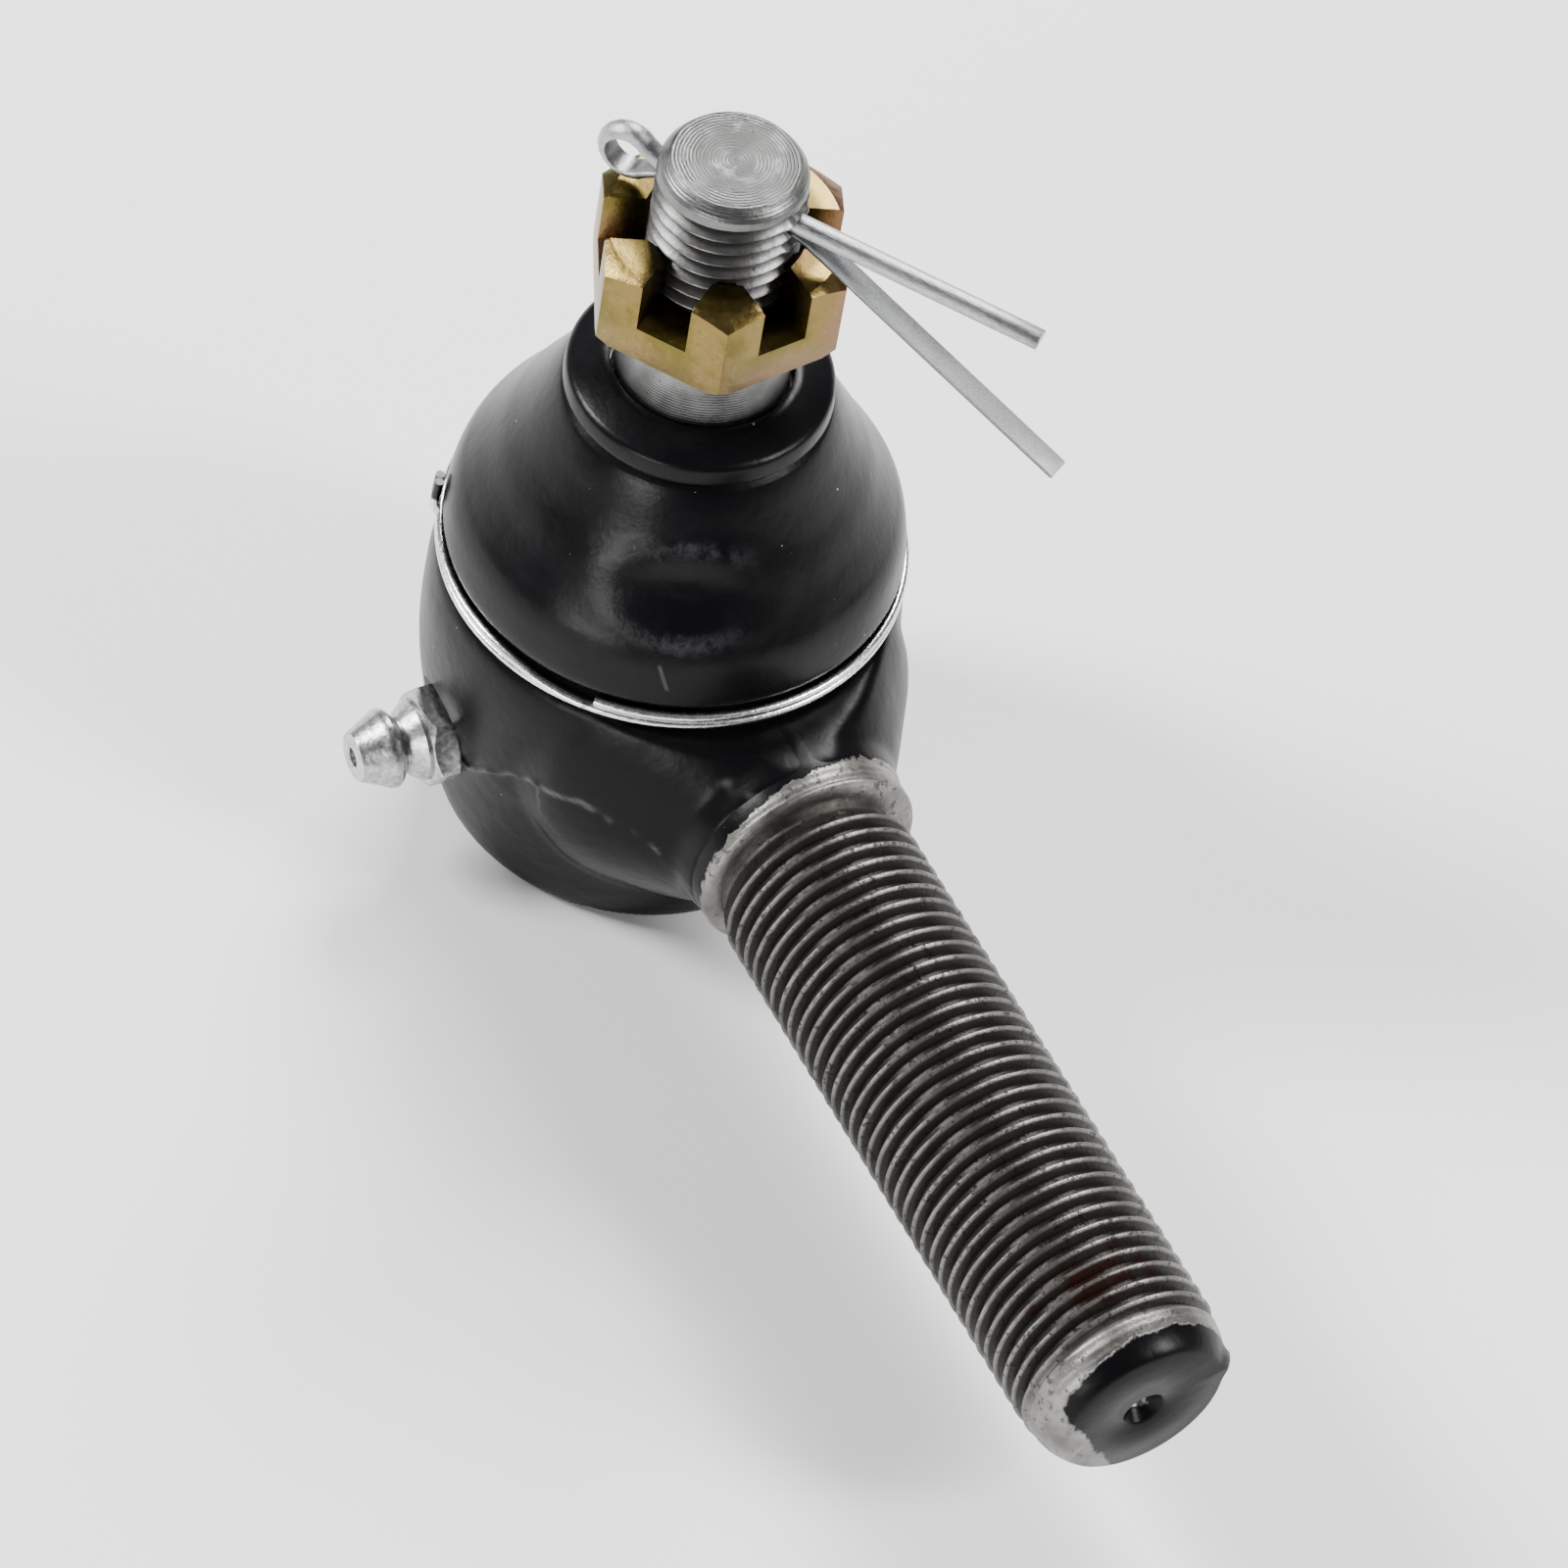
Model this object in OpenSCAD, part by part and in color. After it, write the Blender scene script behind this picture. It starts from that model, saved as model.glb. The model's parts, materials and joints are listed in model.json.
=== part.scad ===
// Tie rod end with a side neck: a forged ball socket, a tapered ball stud and a threaded shank.
// Frame: +Z is the stud's axis, +X runs along the shank, and the origin is the middle of the
// socket's flat underside. Millimetres.

/* [Socket forging] */
// Wall of the socket around the bore, where it is thickest
cup_wall = 5.9; // [5.3:0.1:7.2]
// Wall of the socket outside the snap ring's groove
rim_wall = 1.7; // [1.4:0.1:2.2]
// Metal between the top of the bore and the shoulder that the boot sits on
roof_t = 1.8; // [1.5:0.1:2.4]
// Height of the land that the boot grips
land_h = 3.1; // [2.6:0.1:3.3]
// Wall between the land and the open throat, at the top
land_wall = 4.1; // [3.2:0.1:4.3]
// Radius of the neck where it starts to narrow
neck_mid_r = 15; // [13:0.1:16]
// How far the collar's face stands out beyond the socket
neck_len = 6.7; // [6:0.1:8.5]
// How far the neck stands out round the collar
neck_step = 0.6; // [0.3:0.1:1]

/* [Shank] */
// Major diameter of the shank's thread, 5/8 in
shank_d = 15.875; // [12.5:0.125:19.125]
// Pitch of the shank's thread, 18 to the inch
shank_pitch = 1.411; // [1.2:0.001:1.6]
// Distance from the ball's axis to the shank's end
shank_reach = 77.9; // [65:0.1:110]
// Relief between the collar's face and the first thread
relief = 1.2; // [1:0.1:4]
// Length of the bare, rounded lead at the end
shank_lead = 3.4; // [2:0.1:5]
// How much smaller the flat at the shank's end is than the thread, in radius
end_step = 1.64; // [1.2:0.01:2.4]
// How far the turned collar stands out beyond the thread, in radius
collar_step = 0.86; // [0.5:0.01:1.2]
// How far the collar's centre lies off the thread's, sideways
collar_off = 0.4; // [0:0.05:0.6]
// How far the collar's top lies below the shoulder
collar_sink = 0.3; // [0.3:0.1:1.5]

/* [Ball stud] */
// Ball diameter
ball_d = 19; // [17:0.1:23]
// Diameter of the neck above the ball
stud_neck_d = 9.2; // [8:0.1:9.6]
// Height of the taper's large end above the ball's centre
taper_rise = 18.6; // [18:0.1:20]
// Length of the taper, which loses 1 mm of diameter in 8 mm
taper_len = 16; // [13:0.1:20]
// Major diameter of the stud's thread, 7/16 in
stud_d = 11.11; // [9:0.01:13.4]
// How far the taper's small end stands out beyond the thread, in radius
taper_lip = 0.545; // [0.3:0.005:0.8]
// Pitch of the stud's thread, 20 to the inch
stud_pitch = 1.27; // [1.1:0.01:1.5]
// Length of the stud above its nut
stud_over = 6.7; // [6.2:0.1:12]

/* [Nut and split pin] */
// Width of the castle nut across its flats
nut_af = 17.46; // [16.5:0.01:21]
// Height of the castle nut
nut_h = 7.6; // [7:0.1:8.4]
// Depth of the nut's slots
slot_depth = 4.5; // [3:0.1:4.8]
// Width of the nut's slots
slot_w = 4; // [2.6:0.1:4.4]
// Angle of one of the nut's corners from the shank
nut_turn = -25.3; // [-30:0.1:30]
// Diameter of the split pin with its legs closed
pin_d = 1.86; // [1.6:0.01:2.5]
// Height of the split pin above the nut
pin_lift = 3.05; // [2.9:0.05:3.6]
// Direction of the split pin from the shank
pin_turn = 36; // [0:1:60]
// Length of the short leg beyond the stud
leg_short = 19.4; // [8:0.1:24]
// Length of the long leg beyond the stud
leg_long = 25.6; // [10:0.1:30]

/* [Boot] */
// How far the boot's skirt lies inside the socket's largest radius
boot_step = 0.5; // [0.2:0.1:0.9]
// Wall of the boot's dome
boot_wall = 2; // [1.6:0.1:2.4]
// Height of the boot's collar above the taper's large end
boot_rise = 9.1; // [8.6:0.1:9.8]
// Wall of the boot's collar round the taper's large end
boot_collar_wall = 2.7; // [2.4:0.1:3.3]
// Diameter of the clip's wire
clip_wire = 0.6; // [0.4:0.05:0.7]

/* [Grease nipple] */
// Direction of the nipple from the shank
nipple_turn = -92; // [-120:1:-80]
// How far the nipple's axis lies below the ball's centre
nipple_drop = 7.7; // [7:0.1:8.1]
// Width of the nipple's hexagon across its flats
nipple_af = 7.14; // [7:0.01:8.2]
// Radius of the nipple's head
nipple_head_r = 3.1; // [2.9:0.05:3.3]

/* [Closing pieces] */
// Wall of the seats beside the ball
seat_wall = 2.8; // [2.4:0.1:3.2]
// Height between the closing plate and the lower seat, where the spring works
spring_space = 4.34; // [4.1:0.02:5.5]
// Thickness of the closing plate's flange
plate_t = 1.5; // [1.2:0.1:1.6]
// Thickness of the snap ring
ring_t = 1.2; // [1:0.1:1.4]
// Wire of the preload spring
spring_wire = 1.2; // [0.9:0.1:1.3]
// Turns of the preload spring
spring_turns = 2; // [1.5:0.25:2.25]

/* [Hidden] */

fine = 96;             // segments of a large round
small = 32;            // segments of a small round
eps = 0.01;            // overlap of cutting tools
run = 0.06;            // running fit, in radius
loose = 0.2;           // clearance of rubber and loose pieces
thread_depth = 0.6;    // thread depth as a share of its pitch
crest_land = 0.16;     // flat on a crest as a share of the pitch
root_land = 0.2;       // flat in a root as a share of the pitch

shank_r = shank_d / 2;
stud_r = stud_d / 2;
ball_r = ball_d / 2;
stud_neck_r = stud_neck_d / 2;

// Radii that follow from the ball
bore_r = ball_r + seat_wall;
mouth_r = bore_r + 0.9;
groove_r = mouth_r + 0.7;
base_r = groove_r + rim_wall;
cup_r = bore_r + cup_wall;
boot_r = cup_r - boot_step;

// Closing stack at the underside, from the mouth up
mouth_h = 0.6;
ring_play = 0.05;
groove_top = mouth_h + ring_t + 2 * ring_play;
plate_top = groove_top + plate_t;
seal_t = 0.7;
stack_top = plate_top + seal_t;
plate_boss_r = mouth_r - 2.4;
ring_gap = 26;         // angle of the snap ring's opening

// Ball seats and the ball's centre above them
seat_split = 0.3;
seat_wall_low = 1.3;
lower_seat_z = plate_top + spring_space;
lower_skirt = 1.3;
spring_seat_r = bore_r - 4.9;
spring_low_r = spring_seat_r - 1;
spring_top_r = spring_seat_r - 3;
spring_play = 0.03;
ball_z = lower_seat_z + seat_wall_low + run + ball_r;

// Throat, shoulder and land of the forging
seat_top = ball_z + 0.537 * ball_r;
throat_low_r = ball_r - 0.7;
shoulder_z = seat_top + roof_t;
land_top = shoulder_z + land_h;
land_r = boot_r - 2.4;
throat_top_r = land_r - land_wall;

// Neck, collar and shank
collar_r = shank_r + collar_step;
collar_end = cup_r + neck_len;
collar_back = bore_r + 1.7;
collar_chamfer = 0.8;
collar_side = 25;      // direction in which the collar lies off the thread
shank_z = shoulder_z - collar_r - collar_sink;
neck_back = 3;
neck_mid_x = cup_r - 5.6;
neck_tip_x = collar_end - 4.6;
neck_tip_r = collar_r + neck_step;
neck_foot = 2.4;
neck_under = 0.8;      // how far the neck's top lies below the shoulder
thread_start = collar_end + relief;
shank_thread_end = shank_reach - shank_lead;
shank_end_r = shank_r - end_step;
shank_lead_r = shank_r - 0.35;
centre_depth = 2.2;
centre_r = 1.6;

// Ball stud
flare_z = ball_z + 11.5;
taper_d = stud_d + 2 * taper_lip + taper_len / 8;
taper_z = ball_z + taper_rise;
taper_top = taper_z + taper_len;
function taper_r(z) = taper_d / 2 - (z - taper_z) / 16;
stud_thread_z = taper_top + 0.8;
nut_z = taper_top + 1;
nut_top = nut_z + nut_h;
stud_top = nut_top + stud_over;
pin_z = nut_top + pin_lift;
pin_hole_r = pin_d / 2 + loose;
pin_eye_r = 1.55;
stud_chamfer = 0.6;

shank_crests = floor((shank_thread_end - thread_start) / shank_pitch);

// Boot
boot_top = taper_z + boot_rise;
boot_collar_r = taper_d / 2 + boot_collar_wall;
clip_z = shoulder_z + 1.2;
clip_r = boot_r - 0.52;
clip_groove = clip_wire + 0.15;
tail_turn = -125;
tail_r = boot_r + 0.35;
tail_h = 3.6;
boot_foot = shoulder_z + loose;
boot_grip_r = land_r + loose;
neck_ring_h = 3.6;
neck_ring_z = boot_top - 4.9;
neck_ring_t = 1;
neck_ring_play = 0.1;

// Grease nipple: seat_face is the flat that its hexagon bears on
nipple_z = ball_z - nipple_drop;
seat_face = base_r + 1.9;
nipple_thread_r = 3;
nipple_hex_h = 2.1;
nipple_neck_h = 1.9;
nipple_head_h = 3.4;
nipple_len = nipple_hex_h + nipple_neck_h + nipple_head_h;
nipple_mouth_h = 0.5;
nipple_mouth_r = 0.75;
nipple_neck_r = 2.3;
nipple_collar_r = 3.2;
nipple_spot_r = nipple_af / 2 + 0.9;
check_ball_r = 1.15;
check_play = 0.05;
nipple_bore_r = check_ball_r + check_play;
nipple_spring_wire = 0.35;
grease_hole_r = 1.2;
nipple_tail = seat_face - bore_r - 0.4;

// Ring of a cross-section swept along a path: p is the path, r the wire's radius, s its sides.
// The ring's frame stands on the path's tangent and the line to the coil's axis.
function unit(v) = v / norm(v);
function helix(r0, r1, z0, z1, turns, steps) =
    [for (i = [0:steps])
        let (t = i / steps, a = 360 * turns * t, r = r0 + (r1 - r0) * t)
            [r * cos(a), r * sin(a), z0 + (z1 - z0) * t]];
function ring_at(p, i, r, s) =
    let (last = len(p) - 1,
        tangent = unit(p[min(i + 1, last)] - p[max(i - 1, 0)]),
        side = unit(cross([0, 0, 1], tangent)),
        up = cross(tangent, side))
            [for (k = [0:s - 1]) p[i] + r * (cos(360 * k / s) * side + sin(360 * k / s) * up)];

module sweep(p, r, s) {
    rings = [for (i = [0:len(p) - 1]) ring_at(p, i, r, s)];
    points = [for (ring = rings) each ring];
    last = len(p) - 1;
    walls = [for (i = [0:last - 1], k = [0:s - 1])
        let (n = (k + 1) % s, a = i * s, b = a + s)
            each [[a + k, b + k, b + n], [a + k, b + n, a + n]]];
    caps = [[for (k = [0:s - 1]) k], [for (k = [s - 1:-1:0]) last * s + k]];
    polyhedron(points, concat(walls, caps), convexity = 6);
}

// Outline of a thread of ring-shaped crests, in radius and length, from z0 over count pitches
function thread_outline(r, pitch, z0, count) =
    let (root = r - thread_depth * pitch,
        c = crest_land * pitch / 2,
        f = root_land * pitch / 2)
            [for (i = [0:count - 1])
                let (m = z0 + i * pitch)
                    each [[root, m - pitch / 2 + f], [r, m - c], [r, m + c], [root, m + pitch / 2 - f]]];

module along_x(x) {
    translate([x, 0, shank_z]) rotate([0, 90, 0]) children();
}

// A radial frame of the nipple: local +Z points outwards
module at_nipple(r) {
    rotate([0, 0, nipple_turn]) translate([r, 0, nipple_z]) rotate([0, 90, 0]) children();
}

module hexagon(af, h) {
    cylinder(h = h, d = af / cos(30), $fn = 6);
}

// ---------- Socket forging ----------

module cup_solid() {
    rotate_extrude($fn = fine) polygon([
        [0, 0], [base_r - 0.5, 0], [base_r, 0.5], [base_r + 0.9, 4], [cup_r - 0.9, ball_z - 9.6],
        [cup_r - 0.15, ball_z - 4.6], [cup_r, ball_z - 0.6], [cup_r - 0.1, ball_z + 3.4],
        [cup_r - 0.5, shoulder_z - 0.9], [cup_r - 1.3, shoulder_z],
        [land_r - 0.4, shoulder_z], [land_r - 0.4, land_top - 1.2], [land_r, land_top - 1],
        [land_r, land_top], [0, land_top]
    ]);
}

module neck_cone() {
    back_r = sqrt(cup_r * cup_r - neck_back * neck_back) - 0.2;
    intersection() {
        union() {
            along_x(neck_back) cylinder(h = neck_mid_x - neck_back, r1 = back_r, r2 = neck_mid_r, $fn = fine);
            along_x(neck_mid_x) cylinder(h = neck_tip_x - neck_mid_x, r1 = neck_mid_r, r2 = neck_tip_r, $fn = fine);
        }
        translate([neck_back, -cup_r, neck_foot])
            cube([neck_tip_x, 2 * cup_r, shoulder_z - neck_under - neck_foot]);
    }
}

module collar() {
    c = collar_chamfer;
    side = [0, collar_off * cos(collar_side), collar_off * sin(collar_side)];
    translate(side) along_x(collar_back) cylinder(h = collar_end - collar_back - c, r = collar_r, $fn = fine);
    translate(side) along_x(collar_end - c) cylinder(h = c, r1 = collar_r, r2 = collar_r - c, $fn = fine);
}

module threaded_shank() {
    root = shank_r - thread_depth * shank_pitch;
    first = thread_start + shank_pitch / 2;
    end = shank_reach;
    rounded = concat(
        [[0, collar_back], [root, collar_back]],
        thread_outline(shank_r, shank_pitch, first, shank_crests),
        [[shank_lead_r, shank_thread_end + 0.5], [shank_lead_r - 0.25, end - shank_lead / 2],
            [shank_end_r + 0.55, end - 0.6], [shank_end_r, end], [0, end]]);
    difference() {
        along_x(0) rotate_extrude($fn = fine) polygon(rounded);
        along_x(end - centre_depth) cylinder(h = centre_depth + eps, r1 = 0.2, r2 = centre_r, $fn = small);
    }
}

module socket_cavity() {
    translate([0, 0, -eps]) cylinder(h = stack_top + eps, r = mouth_r, $fn = fine);
    translate([0, 0, mouth_h]) cylinder(h = groove_top - mouth_h, r = groove_r, $fn = fine);
    cylinder(h = seat_top, r = bore_r, $fn = fine);
    translate([0, 0, seat_top - eps])
        cylinder(h = land_top - seat_top + 2 * eps, r1 = throat_low_r, r2 = throat_top_r, $fn = fine);
}

module housing() {
    color([0.07, 0.07, 0.08]) difference() {
        union() {
            cup_solid();
            neck_cone();
            collar();
            threaded_shank();
        }
        socket_cavity();
        at_nipple(bore_r - 3) cylinder(h = seat_face - bore_r + 4, r = nipple_thread_r, $fn = small);
        at_nipple(seat_face) cylinder(h = 6, r = nipple_spot_r, $fn = small);
    }
}

// ---------- Bearing ----------

module upper_seat() {
    color([0.86, 0.84, 0.76]) difference() {
        translate([0, 0, ball_z + seat_split]) cylinder(h = seat_top - ball_z - seat_split, r = bore_r, $fn = fine);
        translate([0, 0, ball_z]) sphere(r = ball_r + run, $fn = fine);
        translate([0, 0, seat_top - 1]) cylinder(h = 2, r = ball_r - 1.4, $fn = fine);
    }
}

module lower_seat() {
    foot = lower_seat_z - lower_skirt;
    color([0.86, 0.84, 0.76]) difference() {
        translate([0, 0, foot]) cylinder(h = ball_z - seat_split - foot, r = bore_r - run, $fn = fine);
        translate([0, 0, ball_z]) sphere(r = ball_r + run, $fn = fine);
        translate([0, 0, foot - eps]) cylinder(h = lower_skirt + eps, r = spring_seat_r, $fn = fine);
        translate([0, 0, foot - eps]) cylinder(h = 9, r = 2, $fn = small);
        at_nipple(ball_r - 3.5) cylinder(h = seat_wall + 4.5, r = 1.6, $fn = small);
    }
}

module preload_spring() {
    r = spring_wire / 2;
    low = plate_top + r + spring_play;
    high = lower_seat_z - r - spring_play;
    path = helix(spring_low_r - r, spring_top_r - r, low, high, spring_turns, round(30 * spring_turns));
    color([0.55, 0.56, 0.58]) sweep(path, r, 10);
}

module cover_plate() {
    color([0.35, 0.35, 0.36]) {
        rotate_extrude($fn = fine) polygon([
            [0, 0], [plate_boss_r - 0.4, 0], [plate_boss_r, 0.4], [plate_boss_r, groove_top],
            [mouth_r - run, groove_top], [mouth_r - run, plate_top], [0, plate_top]
        ]);
    }
}

module cover_seal() {
    color([0.1, 0.1, 0.1]) translate([0, 0, plate_top]) difference() {
        cylinder(h = seal_t, r = mouth_r - run, $fn = fine);
        translate([0, 0, -eps]) cylinder(h = seal_t + 2 * eps, r = bore_r - 0.9, $fn = fine);
    }
}

module snap_ring() {
    color([0.3, 0.3, 0.32]) translate([0, 0, mouth_h + ring_play]) rotate([0, 0, ring_gap / 2])
        rotate_extrude(angle = 360 - ring_gap, $fn = fine)
            translate([plate_boss_r + 0.3, 0]) square([groove_r - 0.1 - plate_boss_r - 0.3, ring_t]);
}

// ---------- Stud, nut and pin ----------

module ball_stud() {
    core = stud_r - thread_depth * stud_pitch;
    thread_len = stud_top - stud_chamfer - stud_thread_z;
    crests = floor(thread_len / stud_pitch);
    first = stud_top - stud_chamfer - (crests - 0.5) * stud_pitch;
    outline = concat(
        [[0, ball_z], [stud_neck_r, ball_z], [stud_neck_r, flare_z], [stud_neck_r + 0.25, flare_z + 1.5],
            [taper_d / 2 - 0.5, taper_z - 1], [taper_d / 2, taper_z], [taper_r(taper_top), taper_top],
            [core, taper_top + 0.6]],
        thread_outline(stud_r, stud_pitch, first, crests),
        [[stud_r, stud_top - stud_chamfer], [stud_r - stud_chamfer, stud_top], [0, stud_top]]);
    color([0.62, 0.62, 0.62]) difference() {
        union() {
            translate([0, 0, ball_z]) sphere(r = ball_r, $fn = fine);
            rotate_extrude($fn = fine) polygon(outline);
        }
        translate([0, 0, pin_z]) rotate([0, 0, pin_turn]) rotate([0, 90, 0])
            cylinder(h = 4 * stud_r, r = pin_hole_r, center = true, $fn = small);
    }
}

module castle_nut() {
    corner = nut_af / 2 / cos(30);
    slot_floor = nut_h - slot_depth;
    top_round = nut_af / 2 * 0.985;
    color([0.72, 0.62, 0.36]) translate([0, 0, nut_z]) rotate([0, 0, nut_turn]) difference() {
        intersection() {
            hexagon(nut_af, nut_h);
            rotate_extrude($fn = fine) polygon([
                [0, 0], [corner - 0.9, 0], [corner, 0.4], [corner, nut_h - (corner - top_round) * 0.58],
                [top_round, nut_h], [0, nut_h]
            ]);
        }
        translate([0, 0, -eps]) cylinder(h = nut_h + 2 * eps, r = stud_r + run, $fn = fine);
        translate([0, 0, -eps]) cylinder(h = 0.8, r1 = stud_r + 0.8, r2 = stud_r + run, $fn = fine);
        for (i = [0:2])
            rotate([0, 0, 30 + 60 * i])
                translate([-nut_af, -slot_w / 2, slot_floor]) cube([2 * nut_af, slot_w, slot_depth + eps]);
    }
}

// One leg of the split pin: half a round bar along +X, flat on top. It starts back from the bend,
// inside the closed shank.
module leg(length) {
    back = pin_d / 2;
    difference() {
        translate([-back, 0, 0]) rotate([0, 90, 0]) cylinder(h = length + back, r = pin_d / 2, $fn = small);
        translate([-back - 1, -pin_d, 0]) cube([length + back + 2, 2 * pin_d, pin_d]);
    }
}

module split_pin() {
    r = pin_d / 2;
    bend = stud_r + 1.2;
    tail = -stud_r - 0.3;
    eye_mid = tail - pin_eye_r - 0.6;
    color([0.75, 0.76, 0.77]) translate([0, 0, pin_z]) rotate([0, 0, pin_turn]) {
        // closed shank through the stud
        translate([tail - 0.5, 0, 0]) rotate([0, 90, 0]) cylinder(h = bend - tail + 0.5, r = r, $fn = small);
        // short leg, nearly straight
        translate([bend, 0, 0]) rotate([0, 4, 2]) mirror([0, 0, 1]) leg(leg_short);
        // long leg, bent down
        translate([bend, 0, 0]) rotate([0, 22, -6]) leg(leg_long);
        // eye
        translate([eye_mid, 0, 0]) rotate([90, 0, 0]) rotate_extrude($fn = 48)
            translate([pin_eye_r, 0]) intersection() {
                circle(r = r, $fn = small);
                translate([0, -r]) square([r, 2 * r]);
            }
    }
}

// ---------- Boot ----------

// A point of the dome: out and up as shares of its width and height, drawn in by the wall w
function dome(out, up, w = 0) =
    [boot_collar_r + out * (boot_r - boot_collar_r) - w, land_top + up * (boot_top - land_top)];

module dust_boot() {
    w = boot_wall;
    bore = taper_r(boot_top) + loose;
    foot = taper_r(neck_ring_z) + loose;
    color([0.05, 0.05, 0.055]) difference() {
        rotate_extrude($fn = fine) polygon([
            // outside, from the foot up
            [boot_grip_r, boot_foot], [boot_r - 0.4, boot_foot], [boot_r - 0.4, clip_z - clip_groove],
            [clip_r - clip_wire / 2 - 0.06, clip_z - clip_groove],
            [clip_r - clip_wire / 2 - 0.06, clip_z + clip_groove],
            [boot_r, clip_z + clip_groove + 0.2], dome(0.975, -0.011), dome(0.946, 0.079),
            dome(0.905, 0.186), dome(0.848, 0.237), dome(0.772, 0.288), dome(0.633, 0.39),
            dome(0.506, 0.492), dome(0.373, 0.593), dome(0.259, 0.695),
            dome(0.152, 0.797), dome(0.038, 0.876),
            [boot_collar_r - 0.1, boot_top - 1.9], [boot_collar_r, boot_top - 1.5],
            [boot_collar_r, boot_top - 0.3], [boot_collar_r - 0.3, boot_top],
            [bore + 0.4, boot_top + 1.2], [bore, boot_top + 1.1],
            // inside, from the collar down
            [foot, neck_ring_z - 1.2], [foot + 1, neck_ring_z - 1.7], dome(0.259, 0.661, w),
            dome(0.506, 0.441, w), dome(0.734, 0.26, w), dome(0.848, 0.158, w),
            [boot_grip_r, land_top + 0.8]
        ]);
        boot_neck_ring_form(0.05);
    }
}

// The steel ring moulded into the boot's neck, grown outwards by g for its seat
module boot_neck_ring_form(g) {
    z0 = neck_ring_z;
    z1 = neck_ring_z + neck_ring_h;
    inner = neck_ring_play - g * 8;
    rotate_extrude($fn = fine) polygon([
        [taper_r(z0) + inner, z0 - g], [taper_r(z0) + neck_ring_play + neck_ring_t + g, z0 - g],
        [taper_r(z1) + neck_ring_play + neck_ring_t + g, z1 + g], [taper_r(z1) + inner, z1 + g]
    ]);
}

module boot_neck_ring() {
    color([0.5, 0.5, 0.52]) boot_neck_ring_form(0);
}

// Two turns of wire, with their ends twisted into a short upright tail
module boot_clip() {
    color([0.82, 0.83, 0.84]) {
        for (side = [-1, 1])
            translate([0, 0, clip_z + side * clip_wire * 0.49])
                rotate_extrude($fn = fine) translate([clip_r, 0]) circle(d = clip_wire, $fn = small);
        rotate([0, 0, tail_turn]) translate([tail_r, 0, clip_z - 0.2]) cylinder(h = tail_h, d = clip_wire, $fn = small);
        rotate([0, 0, tail_turn]) translate([clip_r, 0, clip_z]) rotate([0, 90, 0])
            cylinder(h = tail_r - clip_r, d = clip_wire, $fn = small);
    }
}

// ---------- Grease nipple ----------

module grease_nipple() {
    top = nipple_len;
    seat = top - nipple_mouth_h;
    head = nipple_hex_h + nipple_neck_h;
    color([0.8, 0.81, 0.82]) at_nipple(seat_face) difference() {
        union() {
            rotate_extrude($fn = small * 2) polygon([
                [0, -nipple_tail], [nipple_thread_r - 0.4, -nipple_tail], [nipple_thread_r - run, 0.4 - nipple_tail],
                [nipple_thread_r - run, nipple_hex_h / 2], [nipple_collar_r, nipple_hex_h / 2],
                [nipple_collar_r, nipple_hex_h + 0.3], [nipple_neck_r, head - 0.5],
                [nipple_neck_r, head - 0.2], [nipple_head_r, head + 0.4],
                [nipple_head_r, head + 1.1], [1.7, top], [0, top]
            ]);
            intersection() {
                hexagon(nipple_af, nipple_hex_h);
                cylinder(h = nipple_hex_h, r1 = nipple_af / 2 + 0.7, r2 = nipple_af / 2 + 0.3, $fn = small * 2);
            }
        }
        // grease way: a wide bore for the ball and spring, and a small mouth
        translate([0, 0, -nipple_tail + 0.8]) cylinder(h = seat + nipple_tail - 0.8, r = nipple_bore_r, $fn = small);
        translate([0, 0, -nipple_tail - eps]) cylinder(h = 2, r = 0.7, $fn = small);
        translate([0, 0, seat - eps]) cylinder(h = 2, r = nipple_mouth_r, $fn = small);
    }
}

ball_seat = nipple_len - nipple_mouth_h - check_ball_r - check_play;

module nipple_ball() {
    color([0.7, 0.7, 0.72]) at_nipple(seat_face) translate([0, 0, ball_seat]) sphere(r = check_ball_r, $fn = small);
}

module nipple_spring() {
    r = nipple_spring_wire / 2;
    coil = nipple_bore_r - r - check_play;
    top_coil = coil * 0.75;
    low = -nipple_tail + 0.8 + r + check_play;
    high = ball_seat - sqrt(pow(check_ball_r + r + check_play, 2) - top_coil * top_coil);
    color([0.6, 0.6, 0.62]) at_nipple(seat_face) sweep(helix(coil, top_coil, low, high, 5, 90), r, 6);
}

housing();
upper_seat();
lower_seat();
preload_spring();
cover_plate();
cover_seal();
snap_ring();
ball_stud();
castle_nut();
split_pin();
dust_boot();
boot_neck_ring();
boot_clip();
grease_nipple();
nipple_ball();
nipple_spring();
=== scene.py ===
"""Tie rod end: a forged ball socket with a threaded shank, a tapered ball stud with its castle nut
and split pin, a rubber boot held by a wire clip, and a grease nipple.

Meshes are made in millimetres and brought to metres when each piece is finished.
"""
import json
import logging
import math
from dataclasses import dataclass, field
from enum import Enum
from typing import Callable, ClassVar, Sequence

import bmesh
import bpy
from mathutils import Matrix, Vector, noise


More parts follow.
